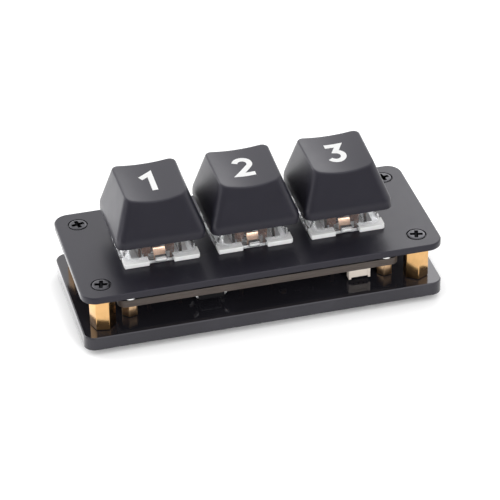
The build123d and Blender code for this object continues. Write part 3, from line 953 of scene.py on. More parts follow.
def place(name: str, mesh: bpy.types.Mesh, finish: Finish, body: str, *nodes: str) -> bpy.types.Object:
    """Make a mesh a piece of the keypad.

    Args:
        name: Name of the piece.
        mesh: Its mesh, in the frame's own place.
        finish: Its finish.
        body: Name of the body that it rides on.
        nodes: Nodes that it stands for.

    Returns:
        The piece.
    """
    mesh.materials.clear()
    mesh.materials.append(finish.material())
    piece = linked(name, mesh)
    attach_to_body(piece, body)
    if nodes:
        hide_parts(*nodes)
    log.info("%s on %s: %d faces", name, body, len(mesh.polygons))
    return piece


def dress(
    node: str, finish: Finish, rim: float, body: str = Body.BASE.value,
    retreat: float = 0.0, sink: float = 0.0,
) -> bpy.types.Object:
    """Stand a refined copy in a node's place."""
    return place(f"{node}_dressed", refined(node, rim, retreat, sink), finish, body, node)


# Patterns


class Pattern:
    """A Geometry Nodes tree with named inputs."""

    def __init__(self, name: str, inputs: dict[str, SocketKind]) -> None:
        """Open the tree.

        Args:
            name: Name of the tree.
            inputs: Type of each input after the geometry, by name.
        """
        geometry = {"Geometry": SocketKind.GEOMETRY}
        self.graph, self.ins, self.outs = open_group(name, "GeometryNodeTree", geometry | inputs, geometry)
        items = self.graph.tree.interface.items_tree
        self.keys = {item.name: item.identifier for item in items if item.in_out == "INPUT"}

    def close(self, geometry: Socket) -> None:
        """End the tree in plain geometry with its finish.

        Args:
            geometry: Socket of the geometry that the tree makes.
        """
        real = self.graph.add("GeometryNodeRealizeInstances", {"Geometry": geometry})
        inputs = {"Geometry": real.outputs[0], "Material": self.ins.outputs["Finish"]}
        finish = self.graph.add("GeometryNodeSetMaterial", inputs)
        self.graph.put(self.outs.inputs["Geometry"], finish.outputs[0])

    def grow(self, mesh: bpy.types.Mesh, values: dict[str, Any]) -> bpy.types.Mesh:
        """The pattern's result on a mesh.

        Args:
            mesh: Geometry that goes in.
            values: Values of the inputs by name.

        Returns:
            The new mesh.
        """
        def attach(carrier: bpy.types.Object) -> None:
            """Add the modifier with its inputs set.

            Args:
                carrier: Object that holds the mesh.
            """
            modifier = carrier.modifiers.new("pattern", "NODES")
            modifier.node_group = self.graph.tree
            for name, value in values.items():
                modifier[self.keys[name]] = value

        return evaluated(mesh, attach)


class StandAtPoints(Pattern):
    """Copies of one piece that stand at points, each with its own turn."""

    TURN = "turn"

    def __init__(self) -> None:
        """Build the tree."""
        super().__init__("stand at points", {"Piece": SocketKind.OBJECT, "Finish": SocketKind.MATERIAL})
        graph, given = self.graph, self.ins.outputs
        piece = graph.add("GeometryNodeObjectInfo", {"Object": given["Piece"]})
        turn = graph.add("GeometryNodeInputNamedAttribute", {"Name": self.TURN}, data_type="FLOAT_VECTOR")
        copies = graph.add("GeometryNodeInstanceOnPoints", {
            "Points": given["Geometry"],
            "Instance": piece.outputs["Geometry"],
            "Rotation": turn.outputs["Attribute"],
        })
        self.close(copies.outputs[0])

    def copies(
        self, piece: bpy.types.Mesh, places: Sequence[Vector], turns: Sequence[Point], finish: Finish
    ) -> bpy.types.Mesh:
        """Stand copies of a mesh at places.

        Args:
            piece: Mesh of one copy, at the origin.
            places: Where the copies stand.
            turns: Turn of each copy about X, Y and Z.
            finish: Finish of the copies.

        Returns:
            One mesh with all the copies.
        """
        points = bpy.data.meshes.new(f"{piece.name}_set")
        points.from_pydata([tuple(point) for point in places], [], [])
        attribute = points.attributes.new(self.TURN, "FLOAT_VECTOR", "POINT")
        for item, turn in zip(attribute.data, turns):
            item.vector = turn
        master = linked(piece.name, piece)
        result = self.grow(points, {"Piece": master, "Finish": finish.material()})
        bpy.data.objects.remove(master)
        return result


class SpringCoil(Pattern):
    """A coil spring that stands on a place, with its end turns closed."""

    RESOLUTION = 28
    WIRE_SIDES = 8

    def __init__(self) -> None:
        """Build the tree."""
        numbers = dict.fromkeys(("Turns", "Radius", "Length", "Wire"), SocketKind.FLOAT)
        others = {"Place": SocketKind.VECTOR, "Finish": SocketKind.MATERIAL}
        super().__init__("spring coil", numbers | others)
        graph, given = self.graph, self.ins.outputs
        spiral = graph.add("GeometryNodeCurveSpiral", {
            "Resolution": self.RESOLUTION,
            "Rotations": given["Turns"],
            "Start Radius": given["Radius"],
            "End Radius": given["Radius"],
            "Height": given["Length"],
        })
        along = graph.add("GeometryNodeSplineParameter").outputs["Factor"]
        height = graph.ranged(along, wanted=(0.0, given["Length"]), soft=True)
        position = graph.add("GeometryNodeInputPosition").outputs[0]
        spot = graph.add("ShaderNodeSeparateXYZ", {0: position}).outputs
        closed = graph.add("ShaderNodeCombineXYZ", {0: spot[0], 1: spot[1], 2: height}).outputs[0]
        raised = graph.vectors("ADD", closed, given["Place"]).outputs[0]
        line = graph.add("GeometryNodeSetPosition", {"Geometry": spiral.outputs[0], "Position": raised})
        wire = graph.add(
            "GeometryNodeCurvePrimitiveCircle", {"Resolution": self.WIRE_SIDES, "Radius": given["Wire"]}
        )
        tube = graph.add("GeometryNodeCurveToMesh", {
            "Curve": line.outputs[0], "Profile Curve": wire.outputs[0], "Fill Caps": True,
        })
        smooth = graph.add("GeometryNodeSetShadeSmooth", {"Geometry": tube.outputs[0]})
        self.close(smooth.outputs[0])


# Sub-assemblies


@dataclass
class Plates:
    """The satin top plate and the glossy base plate."""

    top_rim: float = 0.08 * MM
    base_rim: float = 0.08 * MM

    def build(self) -> None:
        """Refine and dress both plates."""
        dress("top_plate", BLACK_PLATE, self.top_rim)
        dress("base_plate", BLACK_ACRYLIC, self.base_rim)


@dataclass
class PieceSet:
    """Equal pieces that stand where one node has its solids, each turned by some degrees about Z."""

    node: str
    finish: Finish
    turns: tuple[float, ...]

    def stand(
        self, pattern: StandAtPoints, mesh: bpy.types.Mesh, places: Sequence[Vector],
        facing: Facing = Facing.UP,
    ) -> None:
        """Stand copies of a mesh at places and dress them.

        Args:
            pattern: Pattern that stands them.
            mesh: Mesh of one copy, at the origin.
            places: Where the copies stand.
            facing: Which way their tops look.
        """
        turns = [(facing.value, 0.0, math.radians(turn)) for turn in self.turns]
        copies = pattern.copies(mesh, places, turns, self.finish)
        place(f"{self.node}_dressed", copies, self.finish, Body.BASE.value, self.node)

    def seats(self, boxes: Sequence[Box]) -> list[Vector]:
        """Middle of the lower face of each solid."""
        return [Vector((middle(box).x, middle(box).y, box[0].z)) for box in boxes]


@dataclass
class HexPosts(PieceSet):
    """A set of brass hex posts that stand on the base plate."""

    across_flats: float
    bore_radius: float = 1.02 * MM
    edge_radius: float = 0.22 * MM
    edge_steps: int = 4
    end_break: float = 0.25 * MM
    end_height: float = 0.2 * MM
    soft_break_share: float = 0.3
    soft_height_share: float = 0.45

    def mesh(self, length: float) -> bpy.types.Mesh:
        """One post that stands on the origin, one flat facing the front.

        Args:
            length: Height of the post.

        Returns:
            The mesh of the post.
        """
        apothem = self.across_flats / 2
        reach = apothem / math.cos(math.pi / 6)
        angles = [math.pi / 3 * side for side in range(6)]
        corners = [(reach * math.cos(angle), reach * math.sin(angle)) for angle in angles]
        outline = fillet_loop(corners, self.edge_radius, self.edge_steps)
        angles = [math.atan2(point.y, point.x) for point in outline]
        bore = [Vector((math.cos(angle), math.sin(angle), 0.0)) * self.bore_radius for angle in angles]
        inset = 1.0 - self.end_break / apothem
        soft = 1.0 - self.soft_break_share * self.end_break / apothem
        lift = self.end_height
        soft_lift = lift * self.soft_height_share
        shell = Shell()
        shell.stack([
            lifted(bore, 0.0),
            lifted(outline, 0.0, inset),
            lifted(outline, soft_lift, soft),
            lifted(outline, lift),
            lifted(outline, length - lift),
            lifted(outline, length - soft_lift, soft),
            lifted(outline, length, inset),
            lifted(bore, length),
            lifted(bore, 0.0),
        ])
        return shell.mesh(self.node)

    def build(self, pattern: StandAtPoints) -> None:
        """Stand the posts where the frame has them.

        Args:
            pattern: Pattern that stands them.
        """
        boxes = solids(self.node)
        length = boxes[0][1].z - boxes[0][0].z
        self.stand(pattern, self.mesh(length), self.seats(boxes))


@dataclass(frozen=True)
class ScrewHead:
    """Sizes of a screw's head."""

    diameter: float
    height: float
    rim_radius: float
    crown: float


FLAT_HEAD = ScrewHead(diameter=3.6 * MM, height=0.5 * MM, rim_radius=0.16 * MM, crown=0.04 * MM)
PAN_HEAD = ScrewHead(diameter=3.8 * MM, height=1.2 * MM, rim_radius=0.5 * MM, crown=0.12 * MM)


@dataclass
class Screws(PieceSet):
    """A set of cross-recess screws."""

    facing: Facing
    head: ScrewHead
    shank_radius: float = 0.98 * MM
    tip_share: float = 0.8
    tip_height_share: float = 0.2
    head_steps: int = 48
    rim_steps: int = 5
    crown_shares: tuple[float, ...] = (0.75, 0.5, 0.25, 0.0)
    opening_share: float = 1.08
    cross_span: float = 2.6 * MM
    cross_width: float = 0.78 * MM
    cross_round: float = 0.1 * MM
    cross_round_steps: int = 3
    cross_brink: float = 0.03 * MM
    cross_depth: float = 0.85 * MM
    cross_waist_depth_share: float = 0.5
    cross_waist_share: float = 0.8
    cross_floor_share: float = 0.55
    cross_point_depth_share: float = 1.15

    def mesh(self, length: float) -> bpy.types.Mesh:
        """One screw that looks up, with the underside of its head on the origin.

        Args:
            length: Length of the shank.

        Returns:
            The mesh of the screw.
        """
        head, shank = self.head, self.shank_radius
        radius = head.diameter / 2
        shoulder = head.height - head.crown
        profile = [
            (shank * self.tip_share, -length),
            (shank, -length + shank * self.tip_height_share),
            (shank, 0.0),
            (radius, 0.0),
            (radius, shoulder - head.rim_radius),
        ]
        for step in range(1, self.rim_steps + 1):
            angle = math.pi / 2 * step / self.rim_steps
            size = radius - head.rim_radius * (1 - math.cos(angle))
            profile.append((size, shoulder - head.rim_radius * (1 - math.sin(angle))))
        opening = self.cross_span / 2 * self.opening_share
        flat = radius - head.rim_radius
        for share in self.crown_shares:
            profile.append((opening + (flat - opening) * share, shoulder + head.crown * (1 - share ** 2)))
        shell = Shell()
        first, last = shell.turn(profile, self.head_steps)
        shell.fan(first, Vector((0, 0, -length)))
        outline = fillet_loop(
            cross(self.cross_span, self.cross_width), self.cross_round, self.cross_round_steps
        )
        top, depth = head.height, self.cross_depth
        mouth, floor = shell.stack([
            lifted(outline, top),
            lifted(outline, top - self.cross_brink),
            lifted(outline, top - depth * self.cross_waist_depth_share, self.cross_waist_share),
            lifted(outline, top - depth, self.cross_floor_share),
        ])
        shell.fill(last, mouth)
        shell.fan(floor, Vector((0, 0, top - depth * self.cross_point_depth_share)))
        made = shell.mesh(self.node)
        # Mark the cross recess, which the finish darkens with painted shade
        mask = made.attributes.new(RECESS_SHADE_MARK, "FLOAT", "POINT")
        brink = top - self.cross_brink / 2
        for vertex, item in zip(made.vertices, mask.data):
            item.value = float(vertex.co.z < brink and vertex.co.xy.length < opening)
        return made

    def build(self, pattern: StandAtPoints) -> None:
        """Drive the screws in where the frame has them.

        Args:
            pattern: Pattern that stands them.
        """
        boxes = solids(self.node)
        length = boxes[0][1].z - boxes[0][0].z - self.head.height
        places = []
        for low, high in boxes:
            seat = high.z - self.head.height if self.facing is Facing.UP else low.z + self.head.height
            places.append(Vector(((low.x + high.x) / 2, (low.y + high.y) / 2, seat)))
        self.stand(pattern, self.mesh(length), places, self.facing)


@dataclass
class Feet(PieceSet):
    """Four stick-on rubber feet."""

    node: str = "rubber_feet"
    finish: Finish = FOOT_RUBBER
    turns: tuple[float, ...] = (0.0, 0.0, 0.0, 0.0)
    edge_radius: float = 0.25 * MM
    taper: float = 0.3 * MM
    steps: int = 48
    hollow_reach_share: float = 1.6
    hollow_rise_share: float = 0.05
    tread_round_share: float = 0.3
    top_round_share: float = 0.2

    def mesh(self, radius: float, height: float) -> bpy.types.Mesh:
        """One foot that stands on the origin.

        Args:
            radius: Radius where it sticks to the plate.
            height: Height of the foot.

        Returns:
            The mesh of the foot.
        """
        tread = radius - self.taper
        edge = self.edge_radius
        hollow = edge * self.hollow_rise_share
        tread_round = edge * self.tread_round_share
        top_round = edge * self.top_round_share
        shell = Shell()
        first, last = shell.turn([
            (tread - edge * self.hollow_reach_share, hollow),
            (tread - edge, 0.0),
            (tread - tread_round, tread_round),
            (tread, edge),
            (radius, height - top_round),
            (radius - top_round, height),
        ], self.steps)
        shell.fan(first, Vector((0, 0, hollow)))
        shell.fan(last, Vector((0, 0, height)))
        return shell.mesh(self.node)

    def build(self, pattern: StandAtPoints) -> None:
        """Stick the feet where the frame has them.

        Args:
            pattern: Pattern that stands them.
        """
        boxes = solids(self.node)
        size = boxes[0][1] - boxes[0][0]
        self.stand(pattern, self.mesh(size.x / 2, size.z), self.seats(boxes))


@dataclass
class Board:
    """The circuit board with its cable socket, header, push button and chips."""

    board_rim: float = 0.06 * MM
    sheet_rim: float = 0.05 * MM
    solder: float = 0.12 * MM
    moulding_rim: float = 0.12 * MM
    chip_rim: float = 0.07 * MM
    chip_steps: int = 2
    end_share: float = 0.2
    end_overlap_share: float = 0.5
    end_skin: float = 0.028 * MM
    dome_rim: float = 0.01 * MM
    dome_anchor: float = 6.6 * MM
    dome_keep: float = 0.3

    def build(self, pattern: StandAtPoints) -> None:
        """Dress the board and everything that is soldered to it.

        Args:
            pattern: Pattern that stands the small parts in place.
        """
        dress("circuit_board", BOARD, self.board_rim)
        for node, finish in (("socket_shell", BRIGHT_STEEL), ("socket_contacts", GOLD_CONTACT),
                             ("header_pins", GOLD_CONTACT), ("button_cover", BRIGHT_STEEL)):
            dress(node, finish, self.sheet_rim)
        dress("button_leads", TINNED, self.sheet_rim, retreat=-self.solder)
        for node, finish in (("socket_insert", BLACK_MOULDING), ("header_housing", CREAM_MOULDING),
                             ("button_case", BLACK_MOULDING)):
            dress(node, finish, self.moulding_rim)
        for node, finish in (("controller_chip", CHIP_RESIN), ("memory_chip", CHIP_RESIN),
                             ("crystal_can", BRIGHT_STEEL), ("voltage_regulator", CHIP_RESIN)):
            dress(node, finish, self.chip_rim)
        dress("button_plunger", BLACK_MOULDING, self.moulding_rim, Body.BUTTON.value)
        self.build_dome()
        self.build_blocks("capacitors", CERAMIC, pattern)
        self.build_blocks("resistors", CHIP_RESIN, pattern)

    def build_dome(self) -> None:
        """Dress the push button's snap dome, on a mesh of its own."""
        dome = dress("button_dome", BRIGHT_STEEL, self.dome_rim)
        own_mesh(dome)

    def block(self, name: str, low: Vector, high: Vector) -> bpy.types.Mesh:
        """A small block with round edges.

        Args:
            name: Name of the mesh.
            low: Lowest corner.
            high: Highest corner.

        Returns:
            The mesh of the block.
        """
        size = high - low
        x, y, _ = middle((low, high))
        edge = self.chip_rim
        outline = fillet_loop(rectangle(size.x, size.y), edge, self.chip_steps)
        inner = fillet_loop(rectangle(size.x - edge, size.y - edge), edge / 2, self.chip_steps)
        shell = Shell()
        first, last = shell.stack([
            moved(inner, (x, y, low.z)),
            moved(outline, (x, y, low.z + edge / 2)),
            moved(outline, (x, y, high.z - edge / 2)),
            moved(inner, (x, y, high.z)),
        ])
        shell.fan(first, Vector((x, y, low.z)))
        shell.fan(last, Vector((x, y, high.z)))
        return shell.mesh(name)

    def build_blocks(self, node: str, finish: Finish, pattern: StandAtPoints) -> None:
        """Make small two-ended parts: a body between two bright ends.

        Args:
            node: Node that holds the parts.
            finish: Finish of their bodies.
            pattern: Pattern that stands them in place.
        """
        boxes = solids(node)
        size = boxes[0][1] - boxes[0][0]
        half = size / 2
        end = size.x * self.end_share
        inset = Vector((end * self.end_overlap_share, self.end_skin, self.end_skin))
        body = self.block(f"{node}_body", inset - half, half - inset)
        tip = self.block(f"{node}_end", -half, Vector((end - half.x, half.y, half.z)))
        places = [middle(box) for box in boxes]
        still = [(0.0, 0.0, 0.0)] * len(places)
        turned = [(0.0, 0.0, math.pi)] * len(places)
        bodies = pattern.copies(body, places, still, finish)
        place(f"{node}_dressed", bodies, finish, Body.BASE.value, node)
        ends = pattern.copies(tip, places + places, still + turned, BRIGHT_STEEL)
        place(f"{node}_ends", ends, BRIGHT_STEEL, Body.BASE.value)


@dataclass
class KeySwitch:
    """One key switch: white and clear housings, a brown stem, a spring and copper contacts."""

    number: int
    housing_rim: float = 0.25 * MM
    flange_edge: float = 0.3 * MM
    flange_draw: float = 0.28 * MM
    clear_rim: float = 0.07 * MM
    clear_retreat: float = 0.03 * MM
    clear_sink: float = 0.09 * MM
    stem_rim: float = 0.12 * MM
    contact_rim: float = 0.05 * MM
    spring_turns: float = 11.0
    spring_wire: float = 0.35 * MM
    travel: float = 4.0 * MM

    def build(self, coil: SpringCoil) -> None:
        """Dress the switch's pieces.

        Args:
            coil: Pattern that winds the spring.
        """
        number = self.number
        self.draw_in(dress(f"lower_housing_{number}", WHITE_MOULDING, self.housing_rim))
        clear = dress(f"upper_housing_{number}", CLEAR_MOULDING, self.clear_rim,
                      retreat=self.clear_retreat, sink=self.clear_sink)
        clear.visible_shadow = False
        dress(f"stem_{number}", BROWN_MOULDING, self.stem_rim, f"key_{number}")
        dress(f"fixed_contact_{number}", COPPER_CONTACT, self.contact_rim)
        # The contact leaf's copper is darkened with painted shade
        dress(f"contact_leaf_{number}", DULL_SHADED_COPPER, self.contact_rim)
        self.build_spring(coil)

    def draw_in(self, housing: bpy.types.Object) -> None:
        """Bring the left side of the flange in, so that the keycap covers it.

        Args:
            housing: The lower housing.
        """
        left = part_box(f"lower_housing_{self.number}")[0].x + self.flange_edge
        for vertex in housing.data.vertices:
            if vertex.co.x < left:
                vertex.co.x += self.flange_draw

    def build_spring(self, coil: SpringCoil) -> None:
        """Wind the return spring in its tube, on a mesh of its own.

        Args:
            coil: Pattern that winds the spring.
        """
        node = f"return_spring_{self.number}"
        low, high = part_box(node)
        wire = self.spring_wire / 2
        length = high.z - low.z
        seed = bpy.data.meshes.new(f"{node}_wire")
        mesh = coil.grow(seed, {
            "Turns": self.spring_turns,
            "Radius": (high.x - low.x) / 2 - wire,
            "Length": length - 2 * wire,
            "Wire": wire,
            "Place": ((low.x + high.x) / 2, (low.y + high.y) / 2, low.z + wire),
            "Finish": BRIGHT_STEEL.material(),
        })
        spring = place(f"{node}_dressed", mesh, BRIGHT_STEEL, Body.BASE.value, node)
        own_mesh(spring)


@dataclass
class Keycap:
    """One dished keycap with an upright skirt, sloping walls, a hollow inside and a printed figure."""

    number: int
    crown_front_width: float = 12.3 * MM
    crown_back_width: float = 12.9 * MM
    crown_depth: float = 12.7 * MM
    crown_offset: float = 1.0 * MM
    crown_radius: float = 1.5 * MM
    corner_radius: float = 1.7 * MM
    back_height: float = 9.7 * MM
    front_height: float = 9.2 * MM
    skirt_height: float = 1.6 * MM
    knee: float = 0.8 * MM
    top_edge: float = 0.32 * MM
    lip: float = 0.12 * MM
    dish_back: float = 0.65 * MM
    dish_front: float = 0.95 * MM
    dish_margin: float = 0.05 * MM
    wall: float = 1.3 * MM
    roof: float = 1.5 * MM
    inner_radius: float = 0.6 * MM
    socket_radius: float = 2.75 * MM
    socket_rise: float = 1.25 * MM
    slot_span: float = 4.06 * MM
    slot_width: float = 1.25 * MM
    slot_depth: float = 3.6 * MM
    slot_round: float = 0.1 * MM
    slot_steps: int = 2
    corner_steps: int = 10
    side_spans: int = 16
    slope_rings: int = 8
    edge_steps: int = 5
    top_rings: int = 16
    rim_tries: int = 6
    figure_height: float = 6.2 * MM
    figure_stroke: float = 1.15 * MM
    figure_rise: float = 0.02 * MM
    figure_sink: float = 0.06 * MM
    figure_grid: float = 0.45 * MM

    def __post_init__(self) -> None:
        """Take the cap's place from the frame."""
        low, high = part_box(f"keycap_{self.number}")
        self.base = high.x - low.x
        self.centre = Vector(((low.x + high.x) / 2, (low.y + high.y) / 2, low.z))

    def along(self, y: float) -> float:
        """Share of the way from the crown's front edge to its back edge."""
        return (y - self.crown_offset) / self.crown_depth + 0.5

    def top(self, x: float, y: float) -> float:
        """Height of the dished top above the skirt's lower edge.

        Args:
            x: Place to the right of the cap's middle.
            y: Place behind the cap's middle.

        Returns:
            The height.
        """
        share = self.along(y)
        plane = self.front_height + (self.back_height - self.front_height) * share
        half = (self.crown_front_width + (self.crown_back_width - self.crown_front_width) * share) / 2
        depth = self.dish_front + (self.dish_back - self.dish_front) * share
        return plane - self.dish_margin - (depth - self.dish_margin) * (1 - (x / half) ** 2)

    def on_top(self, point: Vector) -> Vector:
        """The place on the dished top above or below a point."""
        return Vector((point.x, point.y, self.top(point.x, point.y)))

    def rounded(self, corners: Corners, radius: float) -> Loop:
        """An outline with the count of points that all the cap's outlines share."""
        return fillet_loop(corners, radius, self.corner_steps, self.side_spans)

    def outlines(self) -> tuple[Loop, Loop]:
        """Outlines of the outside.

        Returns:
            The outline of the skirt and, at its full height, of the crown.
        """
        skirt = self.rounded(rectangle(self.base, self.base), self.corner_radius)
        front, back = self.crown_front_width / 2, self.crown_back_width / 2
        near, far = self.crown_offset - self.crown_depth / 2, self.crown_offset + self.crown_depth / 2
        crown = self.rounded([(-front, near), (front, near), (back, far), (-back, far)], self.crown_radius)
        rise = self.back_height - self.front_height
        for point in crown:
            point.z = self.front_height + rise * self.along(point.y)
        return skirt, crown

    def rim(self, foot: Vector, crown: Vector) -> Vector:
        """Point where a wall line meets the dished top.

        Args:
            foot: Lower end of the line.
            crown: Upper end of the line.

        Returns:
            The point.
        """
        share = 1.0
        for _ in range(self.rim_tries):
            spot = foot.lerp(crown, share)
            share += (self.top(spot.x, spot.y) - spot.z) / (crown.z - foot.z)
        return foot.lerp(crown, share)

    def outer_rings(self) -> list[Loop]:
        """Outlines of the outside, in order.

        Returns:
            The outlines from the lower edge to just short of the middle of the top.
        """
        skirt, crown = self.outlines()
        knee_low = lifted(skirt, self.skirt_height - self.knee)
        knee_middle = lifted(skirt, self.skirt_height)
        rims = [self.rim(foot, tip) for foot, tip in zip(knee_middle, crown)]
        lines = list(zip(knee_middle, rims))
        knee_high = [foot + (tip - foot).normalized() * self.knee for foot, tip in lines]
        edge_low = [tip + (foot - tip).normalized() * self.top_edge for foot, tip in lines]
        hub = Vector((0.0, self.crown_offset, 0.0))
        edge_high = []
        for tip in rims:
            inward = Vector((hub.x - tip.x, hub.y - tip.y, 0.0)).normalized() * self.top_edge
            edge_high.append(self.on_top(tip + inward))
        rings = [lifted(skirt, 0.0, 1 - 2 * self.lip / self.base), lifted(skirt, self.lip), knee_low]
        rings += self.bent(knee_low, knee_middle, knee_high)
        for ring in range(1, self.slope_rings):
            share = ring / self.slope_rings
            rings.append([low.lerp(high, share) for low, high in zip(knee_high, edge_low)])
        rings.append(edge_low)
        rings += self.bent(edge_low, rims, edge_high)
        for ring in range(1, self.top_rings):
            share = ring / self.top_rings
            rings.append([self.on_top(point.lerp(hub, share)) for point in edge_high])
        return rings

    def bent(self, start: Loop, control: Loop, end: Loop) -> list[Loop]:
        """Outlines of a rounding.

        Args:
            start: Outline that it leaves.
            control: Outline that it leans towards.
            end: Outline that it reaches.

        Returns:
            The outlines after start, up to end.
        """
        shares = [step / self.edge_steps for step in range(1, self.edge_steps + 1)]
        threes = list(zip(start, control, end))
        return [[a.lerp(b, share).lerp(b.lerp(c, share), share) for a, b, c in threes] for share in shares]

    def inner_rings(self) -> list[Loop]:
        """Outlines of the inside, in order.

        Returns:
            The outlines from the socket's lower end to the lower edge of the wall.
        """
        height = (self.front_height + self.back_height) / 2
        ceiling = height - self.dish_front - self.roof
        slope = (ceiling - self.skirt_height) / (height - self.skirt_height)
        hollow = self.base - 2 * self.wall
        width = self.base + (self.crown_front_width - self.base) * slope - 2 * self.wall
        depth = self.base + (self.crown_depth - self.base) * slope - 2 * self.wall
        roof = moved(self.rounded(rectangle(width, depth), self.inner_radius),
                     (0.0, self.crown_offset * slope, ceiling))
        foot = self.rounded(rectangle(hollow, hollow), self.inner_radius)
        post = [Vector((point.x, point.y, 0.0)).normalized() * self.socket_radius for point in roof]
        return [
            lifted(post, self.socket_rise),
            lifted(post, ceiling),
            roof,
            lifted(foot, self.skirt_height),
            lifted(foot, self.lip),
            lifted(foot, 0.0, 1 + 2 * self.lip / hollow),
        ]

    def mesh(self) -> bpy.types.Mesh:
        """The cap's closed shell.

        Returns:
            The mesh in the frame's place.
        """
        shell = Shell()
        rings = self.inner_rings() + self.outer_rings()
        socket, last = shell.stack(moved(loop, self.centre) for loop in rings)
        tip = Vector((0.0, self.crown_offset, self.top(0.0, self.crown_offset)))
        shell.fan(last, tip + self.centre)
        slot = fillet_loop(cross(self.slot_span, self.slot_width), self.slot_round, self.slot_steps)
        mouth, end = shell.stack([
            moved(slot, self.centre + Vector((0, 0, self.socket_rise))),
            moved(slot, self.centre + Vector((0, 0, self.socket_rise + self.slot_depth))),
        ])
        shell.fill(socket, mouth)
        shell.fill(end)
        return shell.mesh(f"keycap_{self.number}_shell")

    def figure(self) -> bpy.types.Mesh:
        """The printed figure, laid on the dished top.

        Returns:
            A thin closed mesh in the frame's place.
        """
        line = moved(FIGURE_SHARES[self.number], (0.0, self.crown_offset, 0.0), self.figure_height)
        work = ribbon(line, self.figure_stroke)
        reach = int(self.figure_height / self.figure_grid)
        for normal in (Vector((1, 0, 0)), Vector((0, 1, 0))):
            for step in range(-reach, reach + 1):
                bmesh.ops.bisect_plane(
                    work, geom=work.verts[:] + work.edges[:] + work.faces[:], dist=MERGE_DISTANCE,
                    plane_co=normal * (step * self.figure_grid), plane_no=normal,
                )
        for vertex in work.verts:
            vertex.co.z = self.top(vertex.co.x, vertex.co.y) + self.figure_rise
        lower = bmesh.ops.extrude_face_region(work, geom=work.faces[:])
        for item in lower["geom"]:
            if isinstance(item, bmesh.types.BMVert):
                item.co.z -= self.figure_sink
        bmesh.ops.translate(work, verts=work.verts, vec=self.centre)
        return creased_mesh(work, f"figure_{self.number}")

    def build(self) -> None:
        """Make the cap and print its figure."""
        body = f"key_{self.number}"
        place(f"keycap_{self.number}_dressed", self.mesh(), CAP_PLASTIC, body, f"keycap_{self.number}")
        place(f"figure_{self.number}", self.figure(), WHITE_INK, body)


# Stage


@dataclass(frozen=True)
class Lamp:
    """A soft square lamp that looks at the keypad; shiny surfaces show it where it is mirrored."""

    name: str
    spot: Point
    size: float
    power: float
    mirrored: bool = True

    def hang(self) -> None:
        """Hang the lamp out of the camera's sight."""
        lamp = bpy.data.lights.new(self.name, "AREA")
        lamp.shape = "SQUARE"
        lamp.size = self.size
        lamp.energy = self.power
        holder = linked(self.name, lamp)
        holder.location = self.spot
        holder.rotation_euler = (-Vector(self.spot)).to_track_quat("-Z", "Y").to_euler()
        holder.visible_camera = False
        holder.visible_glossy = self.mirrored


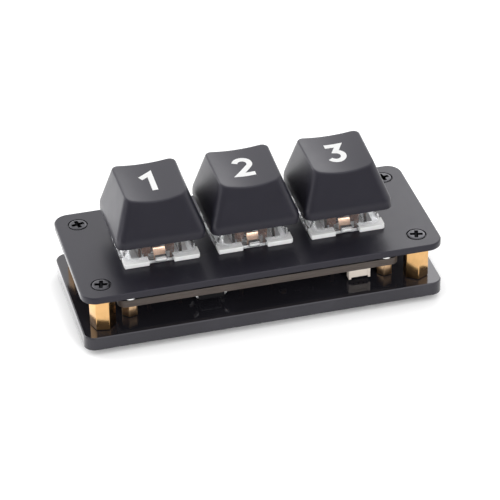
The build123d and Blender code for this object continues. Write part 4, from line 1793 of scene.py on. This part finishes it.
@dataclass
class Stage:
    """A white floor, soft light and the camera of the photograph."""

    floor_side: float = 8.0
    floor_colour: float = 0.82
    floor_glow: float = 0.45
    # The glow that shiny and clear surfaces see runs from near_shine to far_shine along shine_way: a
    # painted pool of light, brighter towards the back left
    near_shine: float = 0.76
    far_shine: float = 1.8
    shine_way: Point = (-0.7, 0.7, 0.0)
    shine_reach: float = 60.0 * MM
    shadow_reach: float = 4.0 * MM
    back_glow: float = 2.1
    front_glow: float = 0.34
    fill_glow: float = 0.6
    back_way: Point = (0.35, 0.7, 0.6)
    glow_span: Span = (-0.5, 0.35)
    camera_place: Point = (-103.61 * MM, -412.93 * MM, 288.11 * MM)
    azimuth: float = math.radians(14.177)
    elevation: float = math.radians(33.291)
    roll: float = math.radians(-1.148)
    lens: float = 181.68
    sensor: float = 36.0
    sight: float = 20.0
    lamps: tuple[Lamp, ...] = (
        Lamp("side_lamp", spot=(-0.3, 0.25, 0.24), size=0.3, power=0.85),
        Lamp("top_lamp", spot=(0.1, -0.5, 0.9), size=0.7, power=1.0),
        Lamp("front_lamp", spot=(0.14, -0.62, 0.3), size=0.14, power=1.9, mirrored=False),
        Lamp("left_lamp", spot=(-0.5, -0.17, 0.11), size=0.16, power=0.6),
        Lamp("back_lamp", spot=(0.28, 0.42, 0.3), size=0.25, power=0.5),
    )

    def build(self) -> None:
        """Lay the floor and set the light and the camera."""
        bpy.context.scene.view_settings.view_transform = "Standard"
        self.lay_floor()
        self.light_world()
        for lamp in self.lamps:
            lamp.hang()
        self.set_camera()

    def lay_floor(self) -> None:
        """Lay a white floor that keeps the keypad's shadow."""
        mesh = bpy.data.meshes.new("floor")
        corners = rectangle(self.floor_side, self.floor_side)
        mesh.from_pydata([(x, y, 0.0) for x, y in corners], [], [range(len(corners))])
        mesh.materials.append(self.floor_material())
        linked("floor", mesh)

    def floor_material(self) -> bpy.types.Material:
        """White that shines to the camera, to shiny surfaces and through clear ones, with a painted pool
        of light and a painted shadow.

        Returns:
            The material.
        """
        material, graph = fresh_material("white_floor")
        matt = graph.add("ShaderNodeBsdfDiffuse", {"Color": rgba((self.floor_colour,) * 3)})
        # Painted pool of light: the glow for shiny and clear surfaces grows brighter towards the back left
        left = graph.vectors("DOT_PRODUCT", graph.spot(), self.shine_way).outputs["Value"]
        painted_shine = graph.ranged(left, (0.0, self.shine_reach), (self.near_shine, self.far_shine), soft=True)
        path = graph.add("ShaderNodeLightPath").outputs
        direct = graph.compute("MAXIMUM", path["Is Camera Ray"], path["Is Glossy Ray"])
        seen = graph.compute("MAXIMUM", direct, path["Is Transmission Ray"])
        level = graph.mixed(path["Is Camera Ray"], painted_shine, self.floor_glow)
        # Painted shadow: the glow dims near the keypad, where it closes off the sky within shadow_reach
        painted_shadow = graph.add("ShaderNodeAmbientOcclusion", {"Distance": self.shadow_reach})
        glow = graph.add("ShaderNodeEmission", {
            "Color": painted_shadow.outputs["Color"], "Strength": graph.compute("MULTIPLY", seen, level),
        })
        both = graph.add("ShaderNodeAddShader", {0: matt.outputs[0], 1: glow.outputs[0]})
        graph.add("ShaderNodeOutputMaterial", {"Surface": both.outputs[0]})
        return material

    def light_world(self) -> None:
        """Light from all round, which shiny surfaces see bright behind and dim in front."""
        world = bpy.data.worlds.new("studio")
        world.use_nodes = True
        bpy.context.scene.world = world
        graph = Graph(world.node_tree)
        way = graph.add("ShaderNodeTexCoord").outputs["Generated"]
        back = graph.vectors("DOT_PRODUCT", way, self.back_way).outputs["Value"]
        sky = graph.ranged(back, self.glow_span, (self.front_glow, self.back_glow), soft=True)
        path = graph.add("ShaderNodeLightPath").outputs
        shiny = graph.mixed(path["Is Glossy Ray"], self.fill_glow, sky)
        strength = graph.mixed(path["Is Camera Ray"], shiny, 1.0)
        glow = graph.add("ShaderNodeBackground", {"Color": rgba(WHITE), "Strength": strength})
        graph.add("ShaderNodeOutputWorld", {"Surface": glow.outputs[0]})

    def set_camera(self) -> None:
        """Set the camera where the photograph was taken."""
        level = math.cos(self.elevation)
        forward = Vector((
            math.sin(self.azimuth) * level, math.cos(self.azimuth) * level, -math.sin(self.elevation)
        ))
        flat = Vector((math.cos(self.azimuth), -math.sin(self.azimuth), 0.0))
        right = Matrix.Rotation(-self.roll, 3, forward) @ flat
        up = right.cross(forward)
        data = bpy.data.cameras.new("camera")
        data.lens = self.lens
        data.sensor_width = self.sensor
        data.clip_end = self.sight
        holder = linked("camera", data)
        turn = Matrix((right, up, -forward)).transposed().to_4x4()
        holder.matrix_world = Matrix.Translation(self.camera_place) @ turn
        bpy.context.scene.camera = holder


def main() -> None:
    """Build the keypad's sub-assemblies in order, then the stage."""
    logging.basicConfig(level=logging.INFO, format="%(name)s: %(message)s")
    pattern = StandAtPoints()
    coil = SpringCoil()
    Plates().build()
    for piece_set in (
        HexPosts("corner_posts", BRASS, (-11.0, 26.5, -14.0, 25.0), across_flats=4.5 * MM),
        HexPosts("board_posts", DULL_LIGHTENED_BRASS, (12.0, 12.0, 12.0, 12.0), across_flats=3.0 * MM),
        Screws("top_screws", BLACK_SCREW, (-14.0, -16.0, 11.0, 10.0), Facing.UP, FLAT_HEAD),
        Screws("base_screws", BLACK_SCREW, (15.0, 40.0, 5.0, 62.0), Facing.DOWN, FLAT_HEAD),
        Screws("board_screws", BRIGHT_SCREW, (30.0, 8.0, 51.0, 20.0), Facing.UP, PAN_HEAD),
        Screws("board_base_screws", BLACK_SCREW, (22.0, 70.0, 12.0, 35.0), Facing.DOWN, FLAT_HEAD),
        Feet(),
        Board(),
    ):
        piece_set.build(pattern)
    for number in KEYS:
        KeySwitch(number).build(coil)
        Keycap(number).build()
    Stage().build()


if __name__ == "__main__":
    main()
